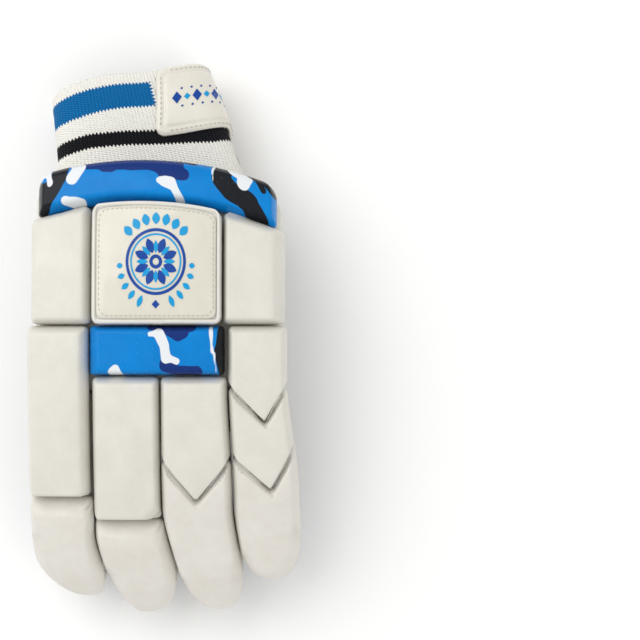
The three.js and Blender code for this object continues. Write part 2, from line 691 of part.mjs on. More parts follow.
function tipPatchShape(finger) {
  const half = STALL_HALF_WIDTH - SEAM_EDGE / 2;
  const tip = -finger.reach + STALL_SHORTER + SEAM_EDGE + half;
  const shape = new THREE.Shape();
  shape.absarc(finger.middle, tip, half, Math.PI, 2 * Math.PI, false);
  shape.absarc(finger.middle, tip + half, half, 0, Math.PI, false);
  return shape;
}

// Between the thumb and the vent, at the heel of the palm
function palmPatchShape() {
  const outer = VENT_X - VENT_HALF_WIDTH - BINDING_WIDTH - PATCH_CLEARANCE;
  const inner = (s) => thumbX(s) + THUMB_HALF_WIDTH + SEAM_EDGE + PATCH_CLEARANCE;
  const start = WRIST_SEAM - PATCH_LENGTH;
  const end = WRIST_SEAM - SEAM_EDGE;
  const shape = new THREE.Shape();
  shape.moveTo(inner(end), end);
  shape.lineTo(inner(start), start);
  shape.lineTo(outer, start - PATCH_SLANT);
  shape.lineTo(outer, end);
  return shape;
}

function addPalm() {
  add("palm_leather", cutLeather(palmShape(), PALM_FACE, PALM_LEATHER), leather);
  add("palm_patch", cutLeather(palmPatchShape(), PATCH_FACE, PATCH_LEATHER), leather);
  for (const finger of FINGERS)
    add(finger.name + "_tip_patch", cutLeather(tipPatchShape(finger), PATCH_FACE, PATCH_LEATHER), leather);
}

// Binding sewn round the vent, under the palm leather
function addVentBinding() {
  const across = VENT_HALF_WIDTH + BINDING_WIDTH / 2;
  const round = WRIST_SEAM - VENT_LENGTH + VENT_HALF_WIDTH;
  const end = WRIST_SEAM + BINDING_END;
  const leg = (side) =>
    [1, 0.75, 0.5, 0.25].map((share) => ({
      x: VENT_X + side * across,
      s: lerp(round, end, share),
      out: side,
      end: 0,
    }));
  const arc = arcPath({ x: VENT_X, s: round, across, angles: HALF_TURN });
  const run = [...leg(-1), ...arc, ...leg(1).reverse()];
  const face = PATCH_TOP - BINDING_THICKNESS;
  const section = [
    { off: BINDING_WIDTH / 2, h: PATCH_TOP },
    { off: BINDING_WIDTH / 2, h: face + BINDING_EDGE },
    { off: BINDING_WIDTH / 2 - BINDING_EDGE, h: face },
  ];
  const side = (sign) =>
    run.map((point) =>
      section.map(({ off, h }) => ({
        x: point.x + point.out * sign * off,
        s: point.s + point.end * sign * off,
        h,
      })),
    );
  add("vent_binding", bodyBetween(side(1), side(-1)), cream);
}

// The knitted cuff, a flattened tube, and the strap that hugs it
function cuffSection(s) {
  const run = THREE.MathUtils.clamp((s - WRIST_SEAM) / CUFF_LENGTH, 0, 1);
  const open = smoothstep(s, BAND_END, lerp(BAND_END, CUFF_RIM, CUFF_OPENS));
  const top = lerp(CAVITY - LAYER_GAP, CUFF_RIM_HALF_DEPTH, open);
  const bottom = lerp(PALM_FACE, -CUFF_RIM_HALF_DEPTH, open);
  return {
    x: lerp(CUFF_SHIFT, CUFF_RIM_SHIFT, run),
    h: (top + bottom) / 2,
    halfWidth: lerp(CUFF_HALF_WIDTH, CUFF_RIM_HALF_WIDTH, run),
    halfDepth: (top - bottom) / 2,
  };
}

// A point `off` outside the cuff's face. Angle 0 is the little-finger side, 90 the back.
function cuffPoint(angle, s, off) {
  const { x, h, halfWidth, halfDepth } = cuffSection(s);
  const full = (value) => Math.sign(value) * Math.abs(value) ** CUFF_SQUARENESS;
  return {
    x: x + (halfWidth + off) * full(Math.cos(angle)),
    s,
    h: h + (halfDepth + off) * full(Math.sin(angle)),
  };
}

const cuffRimAt = (angle) => CUFF_RIM - (CUFF_RIM_SLANT / 2) * (1 - Math.cos(angle));

function addCuff() {
  const along = [0, 0.17, 0.33, 0.5, 0.66, 0.83, 1];
  const layer = (off) => {
    const rows = [];
    for (let i = 0; i < CUFF_SIDES; i++) {
      const angle = (2 * Math.PI * i) / CUFF_SIDES;
      const start = WRIST_SEAM + LAYER_GAP;
      rows.push(along.map((share) => cuffPoint(angle, lerp(start, cuffRimAt(angle), share), off)));
    }
    return rows;
  };
  add("cuff", bodyBetween(layer(0), layer(-CUFF_WALL), { wrap: true }), cuffKnit);
}

function addStrap() {
  const along = [0, 0.25, 0.5, 0.75, 1];
  const layer = (off) => {
    const rows = [];
    for (let i = 0; i <= STRAP_FACETS; i++) {
      const trim = i === 0 || i === STRAP_FACETS ? STRAP_CORNER : 0;
      rows.push(
        along.map((share) => {
          const turn = lerp(lerp(...STRAP_START, share), STRAP_END, i / STRAP_FACETS);
          const angle = degToRad(turn);
          const width = lerp(STRAP_WIDTH, STRAP_PALM_WIDTH, smoothstep(-turn, ...STRAP_WIDENS)) - 2 * trim;
          const end = cuffRimAt(angle) - STRAP_MARGIN - trim;
          return cuffPoint(angle, end - width * (1 - share), off);
        }),
      );
    }
    return rows;
  };
  add("wrist_strap", bodyBetween(layer(LAYER_GAP + STRAP_THICKNESS), layer(LAYER_GAP)), cream);
}

// The thumb lies folded under the palm: a mesh stall between two layers, with three pads under it
function thumbRing(spread) {
  const across = THUMB_HALF_WIDTH + spread;
  const rootRound = THUMB_HALF_WIDTH / 2;
  const tip = -THUMB_REACH + THUMB_HALF_WIDTH;
  const root = THUMB_BASE - rootRound;
  const count = Math.round((root - tip) / STEP);
  const side = (sign) => {
    const points = [];
    for (let i = 1; i < count; i++) {
      const s = lerp(tip, root, i / count);
      points.push({ x: thumbX(s) + sign * across, s, out: sign, end: 0 });
    }
    return points;
  };
  return [
    ...arcPath({ x: thumbX(tip), s: tip, across, angles: HALF_TURN }),
    ...side(1),
    ...arcPath({ x: thumbX(root), s: root, across, along: rootRound + spread, angles: OTHER_HALF_TURN }),
    ...side(-1).reverse(),
  ];
}

function addThumb() {
  const stall = {
    low: THUMB_CAVITY_FLOOR + LAYER_GAP,
    high: THUMB_CAVITY_TOP - LAYER_GAP,
    thickness: KNIT,
    bulge: THUMB_BULGE,
    wrap: true,
  };
  add("thumb_mesh", wallAlong(thumbRing(0), stall), mesh);
  const outline = () => new THREE.Shape(thumbRing(SEAM_EDGE).map(({ x, s }) => new THREE.Vector2(x, s)));
  const cover = outline();
  cover.holes.push(thumbHole(-SEAM_EDGE / 2));
  add("thumb_leather", cutLeather(cover, THUMB_CAVITY_TOP, PALM_LEATHER), leather);
  const backing = cutLeather(outline(), THUMB_CAVITY_FLOOR - THUMB_BACKING, THUMB_BACKING);
  add("thumb_backing", backing, backingWhite);
}

function addThumbPads() {
  const shear = (THUMB_ROOT_X - THUMB_TIP_X) / (THUMB_BASE + THUMB_REACH);
  const tip = -THUMB_REACH - THUMB_PAD_OVERHANG;
  const seams = THUMB_SEAMS.map((share) => lerp(-THUMB_REACH, THUMB_BASE, share));
  const ends = [tip, ...seams, THUMB_BASE + THUMB_PAD_OVERHANG];
  const pieces = [
    { name: "thumb_tip_pad", material: white },
    { name: "thumb_middle_pad", material: camouflage },
    { name: "thumb_base_pad", material: white, corner: THUMB_BASE_CORNER },
  ];
  pieces.forEach(({ name, material, corner }, i) => {
    const middle = thumbX(ends[i]) + THUMB_PAD_OFFSET;
    const left = middle - THUMB_PAD_HALF_WIDTH;
    const right = middle + THUMB_PAD_HALF_WIDTH;
    const rounds = [THUMB_TIP_ROUND, THUMB_TIP_ROUND];
    const roundEnd = fingertip({ left, right, far: middle, reach: -tip, rounds });
    const shape = {
      left,
      right,
      from: i ? level(ends[i] + PAD_CLEARANCE) : roundEnd,
      to: level(ends[i + 1]),
      base: THUMB_PAD_BASE,
      thickness: THUMB_PAD,
      shoulder: THUMB_PAD_SHOULDER,
      corner,
      down: true,
      shear,
    };
    add(name, pad(shape), material);
  });
}

addBadgeRow();
addRolls();
addBand();
addTipPads();
addBackings();
addGussets();
addPalm();
addVentBinding();
addCuff();
addStrap();
addThumb();
addThumbPads();

// Set down on the ground: the box's middle over the origin, its lowest point at Z = 0
const bounds = new THREE.Box3().setFromObject(glove);
const centre = bounds.getCenter(new THREE.Vector3());
glove.position.set(-centre.x, -centre.y, -bounds.min.z);

export default glove;
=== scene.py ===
# Looks of a left-hand cricket batting glove that lies palm down.
# Lengths are in millimetres of the glove's flat pattern, as in the part's source: x runs across the hand,
# s along it and h through it. bend() turns pattern points into places in the frame, in metres.
import itertools
import math

import bmesh
import bpy
import numpy as np
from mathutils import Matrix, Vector
from mathutils.geometry import delaunay_2d_cdt


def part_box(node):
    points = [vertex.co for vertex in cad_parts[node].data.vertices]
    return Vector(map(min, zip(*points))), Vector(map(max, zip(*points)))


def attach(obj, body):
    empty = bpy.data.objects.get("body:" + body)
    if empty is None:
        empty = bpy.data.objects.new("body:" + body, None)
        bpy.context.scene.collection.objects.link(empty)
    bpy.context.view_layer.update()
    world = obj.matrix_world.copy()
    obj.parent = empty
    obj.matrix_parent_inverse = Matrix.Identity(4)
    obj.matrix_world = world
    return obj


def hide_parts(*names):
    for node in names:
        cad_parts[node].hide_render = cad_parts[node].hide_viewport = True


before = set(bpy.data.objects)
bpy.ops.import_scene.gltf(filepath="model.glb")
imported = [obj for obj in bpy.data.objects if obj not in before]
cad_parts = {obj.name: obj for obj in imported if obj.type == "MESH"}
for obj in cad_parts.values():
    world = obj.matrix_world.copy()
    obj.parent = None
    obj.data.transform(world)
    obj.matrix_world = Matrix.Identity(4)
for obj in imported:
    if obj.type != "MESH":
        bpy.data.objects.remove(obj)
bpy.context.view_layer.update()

# Sizes of the part, as in its source
INDEX_WIDTH = 34.6
MIDDLE_WIDTH = 36.2
RING_WIDTH = 35.8
LITTLE_WIDTH = 31.8
PAD_CLEARANCE = 0.6
LAYER_GAP = 0.45
CAVITY_DEPTH = 21
PALM_LEATHER = 1.5
PATCH_LEATHER = 1.2
KNIT = 1.8
BACKING = 6
BACKING_SHOULDER = 3
BACKING_INSET = 1.8
ROLL_THICKNESS = 17
TIP_THICKNESS = 14.5
CORNER = 3
KNUCKLE_TO_BADGE = 25.2
BADGE_LENGTH = 60.2
BADGE_SHOULDER = 4
BADGE_PLATE = 1.6
PLATE_INSET = 2.8
BADGE_INSET = 2.6
ROW_BOW = 11.5
ROW_SKEW = 0.04
SIDE_INSET = 2
LITTLE_SIDE_INSET = 1
KNUCKLE_SHIFT = 1.2
BAND_LENGTH = 21.5
BAND_INSET = 5.5
BAND_CORNER = 8
INDEX_ROLL = 59.5
MIDDLE_ROLL = 71
RING_ROLL = 61
RING_POINT = 20.5
LITTLE_UPPER_ROLL = 22.5
LITTLE_UPPER_POINT = 18
LITTLE_LOWER_ROLL = 55.5
LITTLE_LOWER_POINT = 19
LITTLE_LOWER_SKEW = 0.13
LITTLE_POINT_SHIFT = 2.5
ROLL_SEAM = 1.4
MIDDLE_REACH = 125
STALL_SHORTER = 7
WEB = 28
BACK_WEB = 9
STALL_HALF_WIDTH = 12.2
STALL_FLARE = 2.6
STALL_BULGE = 0.6
HEEL_HALF_WIDTH = 49
SEAM_EDGE = 1
WRIST_SEAM = 101
CUFF_LENGTH = 68
CUFF_WALL = 2.5
CUFF_HALF_WIDTH = 51
CUFF_RIM_HALF_WIDTH = 42.4
CUFF_RIM_HALF_DEPTH = 17.5
CUFF_SHIFT = -3.5
CUFF_RIM_SHIFT = -20
CUFF_RIM_SLANT = 18
STRAP_WIDTH = 36
STRAP_PALM_WIDTH = 47
STRAP_THICKNESS = 2.4
STRAP_MARGIN = 0.5
THUMB_REACH = 42
THUMB_BASE = 88
THUMB_HALF_WIDTH = 18
THUMB_DEPTH = 17.4
THUMB_BULGE = 0.8
THUMB_BACKING = 4
THUMB_PAD = 14.5
THUMB_PAD_HALF_WIDTH = 19
THUMB_PAD_OFFSET = 7
THUMB_PAD_SHOULDER = 8
THUMB_PAD_OVERHANG = 3
THUMB_TIP_ROUND = 22
THUMB_BASE_CORNER = 9
THUMB_ROOT_X = -27
THUMB_TIP_X = -6
THUMB_HOLE_HALF_LENGTH = 17
THUMB_HOLE_HALF_WIDTH = 10.5
THUMB_HOLE_SHARE = 0.2
THUMB_SEAMS = (0.54, 0.8)
VENT_LENGTH = 38
VENT_HALF_WIDTH = 3.2
VENT_X = 37
BINDING_WIDTH = 7.5
BINDING_THICKNESS = 3
BINDING_END = 10
PATCH_LENGTH = 67
PATCH_SLANT = 5
PATCH_CLEARANCE = 2
ARCH_DROP = 5
LEAN_START = 64
LEAN_SOFTNESS = 20
LEAN = 0.35
LEAN_SPREAD = 0.16
LEAN_DELAY = 0.4
LITTLE_SPLAY = 6.5
LITTLE_SPLAY_LENGTH = 60
SPINE_HEIGHT = 50
SPINE_SPARE = 60
WALL_SHARE = 0.5
TIP_FULLNESS = 2.3
STRAP_START = (88, 80)
STRAP_END = -118
STRAP_WIDENS = (-10, 90)
CUFF_SQUARENESS = 0.62
CUFF_OPENS = 0.75
FINGER_SLOPES = ((0, 4), (0.34, 13), (0.69, 26), (1.05, 41))
CUFF_SLOPES = ((0, 4), (0.16, 0), (0.48, -10), (0.68, -19), (1, -22))

CAVITY = CAVITY_DEPTH / 2
PALM_FACE = -CAVITY - PALM_LEATHER
PATCH_TOP = PALM_FACE - LAYER_GAP
PATCH_FACE = PATCH_TOP - PATCH_LEATHER
PAD_BASE = CAVITY + BACKING + LAYER_GAP
THUMB_CAVITY_TOP = PALM_FACE - LAYER_GAP - PALM_LEATHER
THUMB_CAVITY_FLOOR = THUMB_CAVITY_TOP - THUMB_DEPTH
THUMB_PAD_BASE = THUMB_CAVITY_FLOOR - THUMB_BACKING - LAYER_GAP
CUFF_RIM = WRIST_SEAM + CUFF_LENGTH
BAND_END = KNUCKLE_TO_BADGE + BADGE_LENGTH + BAND_LENGTH
SHELL_HALF = (INDEX_WIDTH + MIDDLE_WIDTH + RING_WIDTH + LITTLE_WIDTH) / 2

# Camouflage, listed blob by blob. Each blob is a stroke: its joints as shares of the pad's width and length,
# and its radius in millimetres.
BAND_CHART = {
    "navy": (
        ((0.2, 0.96), (0.3, 0.87), (0.4, 0.83), (0.5, 0.84), (0.58, 0.8), 4.2),
        ((0.28, 0.74), (0.31, 0.72), 2.4),
        ((0.49, 0.76), (0.54, 0.62), (0.61, 0.6), 3.2),
        ((0.52, 0.52), (0.56, 0.5), 1.4),
    ),
    "black": (
        ((0.1, 0.98), (0.09, 0.72), (0.05, 0.42), (0.01, 0.05), 4.6),
        ((0.0, 0.1), (0.0, 0.5), 4.6),
        ((0.59, 1.0), (0.65, 0.95), 2.2),
        ((0.78, 1.02), (0.765, 0.62), (0.81, 0.42), (0.885, 0.3), (0.925, -0.05), 5.0),
        ((0.93, 0.98), (0.99, 0.75), 3.4),
    ),
    "white": (
        ((-0.03, 0.9), (0.03, 0.94), 3.6),
        ((0.045, 0.86), (0.052, 0.6), 1.4),
        ((0.16, 0.98), (0.175, 0.82), (0.145, 0.62), 3.3),
        ((0.115, 0.16), (0.19, 0.02), 1.9),
        ((0.53, 0.38), (0.57, 0.3), (0.6, 0.02), 2.2),
        ((0.51, 0.42), (0.565, 0.42), 1.6),
        ((0.742, 1.0), (0.73, 0.7), (0.74, 0.42), 0.7),
        ((0.82, 0.96), (0.875, 0.82), (0.86, 0.66), 3.4),
    ),
    "black_over": (((0.885, 0.95), (0.92, 0.86), (0.945, 0.66), 2.0),),
}
KNUCKLE_CHART = {
    "navy": (
        ((0.46, 1.0), (0.6, 0.95), (0.76, 1.0), 2.4),
        ((0.6, 0.9), (0.66, 0.78), (0.7, 0.84), 2.4),
        ((0.56, 0.2), (0.66, 0.1), (0.8, 0.1), 2.7),
        ((0.56, 0.28), (0.61, 0.22), 2.4),
    ),
    "black": (
        ((1.0, 1.0), (0.965, 0.52), (1.0, 0.0), 2.8),
    ),
    "white": (
        ((0.455, 0.84), (0.5, 0.86), 1.5),
        ((0.52, 0.84), (0.56, 0.62), (0.57, 0.36), 2.6),
        ((0.57, 0.4), (0.65, 0.3), 1.5),
        ((0.17, 0.08), (0.2, 0.16), (0.23, -0.02), 2.0),
        ((0.9, 1.0), (0.912, 0.5), 0.9),
        ((0.925, 0.45), (0.945, 0.0), 0.5),
    ),
    "black_over": (((1.02, 1.0), (1.02, 0.0), 0.5),),
}
THUMB_CHART = {
    "navy": (((1.05, 0.3), (1.05, 0.2), 0.8),),
    "black": (
        ((0.12, 0.02), (0.35, 0.14), (0.7, 0.16), (1.0, 0.12), 4.0),
        ((-0.02, 0.1), (0.0, 0.42), 2.6),
        ((0.3, 0.6), (0.55, 0.62), (0.95, 0.56), 3.2),
        ((0.3, 0.72), (0.62, 0.7), (0.85, 0.66), 4.6),
        ((0.42, 0.9), (0.6, 0.86), 3.4),
    ),
    "white": (
        ((0.0, -0.02), (0.3, 0.01), (1.0, -0.03), 0.8),
        ((0.05, 0.62), (0.2, 1.0), 1.6),
        ((0.7, 1.02), (1.0, 0.97), 0.9),
    ),
    "black_over": (((0.06, 0.58), (0.12, 0.62), 1.2),),
}
COLOURS = ("navy", "black", "white", "black_over")


class Finger:
    """A finger's column: its edges, its reach and how its tip is rounded"""

    def __init__(self, name, left, width, reach, far, rounds):
        self.name = name
        self.left = left
        self.right = left + width
        self.width = width
        self.middle = left + width / 2
        self.reach = reach
        self.far = self.middle + far * width / 2
        self.rounds = (rounds[0] * width, rounds[1] * width)


INDEX = Finger("index", -SHELL_HALF, INDEX_WIDTH, 115, 0.25, (1, 0.5))
MIDDLE = Finger("middle", INDEX.right, MIDDLE_WIDTH, MIDDLE_REACH, -0.45, (0.72, 0.85))
RING = Finger("ring", MIDDLE.right, RING_WIDTH, 123.5, -0.1, (0.56, 0.78))
LITTLE = Finger("little", RING.right, LITTLE_WIDTH, 105, -0.15, (0.44, 0.82))
FINGERS = (INDEX, MIDDLE, RING, LITTLE)
LITTLE_POINT = LITTLE.middle + LITTLE_POINT_SHIFT


# The bend
def smoothstep(value, low, high):
    share = np.clip((value - low) / (high - low), 0, 1)
    return share * share * (3 - 2 * share)


def lerp(a, b, share):
    return a + (b - a) * share


def slope_at(s):
    to_tips = np.interp(-s / MIDDLE_REACH, *np.array(FINGER_SLOPES, float).T)
    to_cuff = np.interp(s / CUFF_RIM, *np.array(CUFF_SLOPES, float).T)
    return np.radians(np.where(s < 0, to_tips, to_cuff))


def spine_side(direction, length):
    steps = np.arange(length + SPINE_SPARE)
    slopes = slope_at(direction * (steps[:-1] + 0.5))
    y = np.concatenate([[0], np.cumsum(direction * np.cos(slopes))])
    z = np.concatenate([[0], np.cumsum(direction * np.sin(slopes))])
    return steps, y, z


TO_TIPS = spine_side(-1, MIDDLE_REACH)
TO_CUFF = spine_side(1, CUFF_RIM)
CROWN = TO_CUFF[2].max()


def lean_at(x, s):
    start = LEAN_START + LEAN_DELAY * np.maximum(0, MIDDLE.right - x)
    past = np.maximum(0, -start - s)
    share = LEAN - LEAN_SPREAD * x / LITTLE.middle
    beyond = np.maximum(0, x - RING.left) / (LITTLE.right - RING.left)
    splay = LITTLE_SPLAY * beyond**1.5 * smoothstep(-s, 0, LITTLE_SPLAY_LENGTH)
    return share * past**2 / (past + LEAN_SOFTNESS) + splay


def bend(points):
    x, s, h = np.asarray(points, float).T
    slope = slope_at(s)
    spine_y = np.where(s < 0, np.interp(-s, *TO_TIPS[:2]), np.interp(s, *TO_CUFF[:2]))
    spine_z = np.where(s < 0, np.interp(-s, TO_TIPS[0], TO_TIPS[2]), np.interp(s, TO_CUFF[0], TO_CUFF[2]))
    return np.stack(
        [
            x + lean_at(x, s),
            spine_y - h * np.sin(slope),
            spine_z - CROWN + SPINE_HEIGHT + h * np.cos(slope) - ARCH_DROP * (x / SHELL_HALF) ** 2,
        ],
        axis=1,
    )


# The frame's place: the knuckle roll's lowest corner there, against the same corner of the pattern
CORNER_X = MIDDLE.left - KNUCKLE_SHIFT + PAD_CLEARANCE / 2
CORNER_H = PAD_BASE + WALL_SHARE * ROLL_THICKNESS
knuckle_corner = bend([(CORNER_X, PAD_CLEARANCE / 2, CORNER_H)])[0]
frame_corner = np.array(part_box("knuckle_roll")[0]) * 1000
SHIFT = np.array([frame_corner[0] - knuckle_corner[0], frame_corner[1] - knuckle_corner[1], 0])


def placed(points):
    place = bend(points) + SHIFT
    place[:, 2] = np.maximum(place[:, 2], 0)
    return place / 1000


# Repeatable noise from -1 to 1, at the points' own scale
def lattice(cells):
    return np.modf(np.abs(np.sin(cells @ np.array([127.1, 311.7, 74.7])) * 43758.5453))[0]


def noise(points):
    whole = np.floor(points)
    part = points - whole
    soft = part * part * (3 - 2 * part)
    total = np.zeros(len(points))
    for corner in itertools.product((0, 1), repeat=3):
        weight = np.prod(np.where(corner, soft, 1 - soft), axis=1)
        total += weight * lattice(whole + corner)
    return 2 * total - 1


def rough(x, s, size, seed=0):
    shape = np.shape(x)
    flat = np.stack([np.ravel(x) / size, np.ravel(s) / size, np.full(np.size(x), seed + 0.5)], axis=1)
    return noise(flat).reshape(shape)


# Meshes
def add_piece(name, body, material, slot, nodes=(), fill=None, attributes=None, smooth=True):
    """A piece from a body in the pattern, as points and faces, bent into place. It keeps its pattern
    coordinates for its material."""
    points, faces = body
    data = bpy.data.meshes.new(name)
    data.from_pydata(placed(points).tolist(), [], [list(map(int, face)) for face in faces])
    shaped = bmesh.new()
    shaped.from_mesh(data)
    bmesh.ops.recalc_face_normals(shaped, faces=shaped.faces)
    shaped.to_mesh(data)
    shaped.free()
    data.polygons.foreach_set("use_smooth", [smooth] * len(data.polygons))
    pattern = data.attributes.new("pattern", "FLOAT_VECTOR", "POINT")
    pattern.data.foreach_set("vector", points.ravel())
    for key, values in (attributes or {}).items():
        layer = data.attributes.new(key, "FLOAT", "POINT")
        layer.data.foreach_set("value", np.asarray(values, float).ravel())
    data.materials.append(material)
    piece = bpy.data.objects.new(name, data)
    bpy.context.scene.collection.objects.link(piece)
    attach(piece, "root")
    if nodes:
        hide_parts(*nodes)
    return piece


def body_between(outer, inner, wrap=False, rim=()):
    """A closed body between two grids of points. `rim` adds rows round its edge: how far each lies
    from the outer to the inner grid, across the hand and through it."""
    rows, columns = outer.shape[:2]
    count = rows * columns
    index = np.arange(count).reshape(rows, columns)
    closed = np.vstack([index, index[:1]]) if wrap else index
    corners = [closed[:-1, :-1], closed[1:, :-1], closed[1:, 1:], closed[:-1, 1:]]
    quads = np.stack(corners, axis=-1).reshape(-1, 4)
    starts = outer.reshape(-1, 3)
    stops = inner.reshape(-1, 3)
    points = [starts, stops]
    faces = [quads, quads[:, ::-1] + count]
    if wrap:
        loops = [closed[:, 0], closed[:, -1]]
    else:
        loops = [np.concatenate([index[:, 0], index[-1, 1:], index[-2::-1, -1], index[0, -2::-1]])]
    total = 2 * count
    for loop in loops:
        previous = loop
        for across, through in rim:
            ring = lerp(starts[loop], stops[loop], np.array([across, across, through]))[:-1]
            points.append(ring)
            fresh = np.append(np.arange(total, total + len(ring)), total)
            faces.append(np.stack([previous[:-1], previous[1:], fresh[1:], fresh[:-1]], axis=-1))
            total += len(ring)
            previous = fresh
        last = loop + count
        faces.append(np.stack([previous[:-1], previous[1:], last[1:], last[:-1]], axis=-1))
    return np.concatenate(points), np.concatenate(faces)


def rise(distance, radius):
    short = 1 - np.clip(distance / radius, 0, 1)
    return np.sqrt(1 - short * short)


def soft_min(a, b, softness):
    share = np.clip(0.5 + 0.5 * (b - a) / softness, 0, 1)
    return lerp(b, a, share) - softness * share * (1 - share)


BEVEL_ROUNDNESS = 0.35
BEVEL_SOFTNESS = 0.14


def bevel(distance, width):
    share = np.clip(distance / width, 0, 2)
    straight = soft_min(share, 1, BEVEL_SOFTNESS)
    return lerp(straight, rise(distance, width), BEVEL_ROUNDNESS)


def distance_to_line(x, s, line_x, line_s):
    """Distance in the flat pattern from points to a line of points"""
    best = np.full(np.shape(x), np.inf)
    for x0, s0, x1, s1 in zip(line_x[:-1], line_s[:-1], line_x[1:], line_s[1:]):
        length = (x1 - x0) ** 2 + (s1 - s0) ** 2
        share = np.clip(((x - x0) * (x1 - x0) + (s - s0) * (s1 - s0)) / max(length, 1e-9), 0, 1)
        best = np.minimum(best, np.hypot(x - lerp(x0, x1, share), s - lerp(s0, s1, share)))
    return best


def crease(x, s, start, end, width):
    """A fold's depth, from 1 on its line to 0 away from it"""
    near = distance_to_line(x, s, (start[0], end[0]), (start[1], end[1]))
    return np.exp(-((near / width) ** 2))


# Unevenness of the blobs' edges: its size along the edge, its seed and its height
BLOB_WOBBLE = ((5.5, 3, 0.55), (2.2, 4, 0.25))
BLOB_SOFTNESS = 1.4


def camouflage(chart, x, s, width, length):
    """Signed distance to each colour's blobs, in millimetres and negative inside"""
    wobble = sum(height * rough(x, s, size, seed) for size, seed, height in BLOB_WOBBLE)
    found = {}
    for colour in COLOURS:
        best = None
        for *joints, radius in chart[colour]:
            line_x, line_s = (np.array(joints) * (width, length)).T
            near = distance_to_line(x, s, line_x, line_s) - radius
            best = near if best is None else soft_min(best, near, BLOB_SOFTNESS)
        found[colour] = best + wobble
    return found


def crowded(count, crowding):
    """Shares from 0 to 1 that lie closer together near both ends"""
    even = np.linspace(0, 1, count)
    return lerp(even, (1 - np.cos(np.pi * even)) / 2, crowding)


CELL = 1.1
CROWDING_ACROSS = 0.6
CROWDING_ALONG = 0.35
TUCK = 1.3
SIDE_BEVEL = 2.6
END_BEVEL = 3.2
PAD_CROWN = 0.5
EDGE_ROUND = 1.1
EDGE_DROP = 0.8
FULLEST = 1.1
EDGE_POINTS = 90
# Unevenness of a pad's face: its size and its height, fading out near the edge
FACE_ROUGHNESS = ((19, 0.3), (6, 0.1))
FACE_MARGIN = 6
PAD_RIM = ((0.02, 0.12), (0.05, 0.3), (0.12, 0.5), (0.3, 0.7), (0.6, 0.88))
PLEAT_PITCH = 3.4
PLEAT_DEPTH = 0.45
PLEAT_SWELL = 0.3
PLEAT_CENTRE = 14
PLEAT_SHARES = (0.15, 0.4, 0.8, 1, 1)
PLEATS_FADE = 8
TAPER_START = 0.55
surfaces = {}


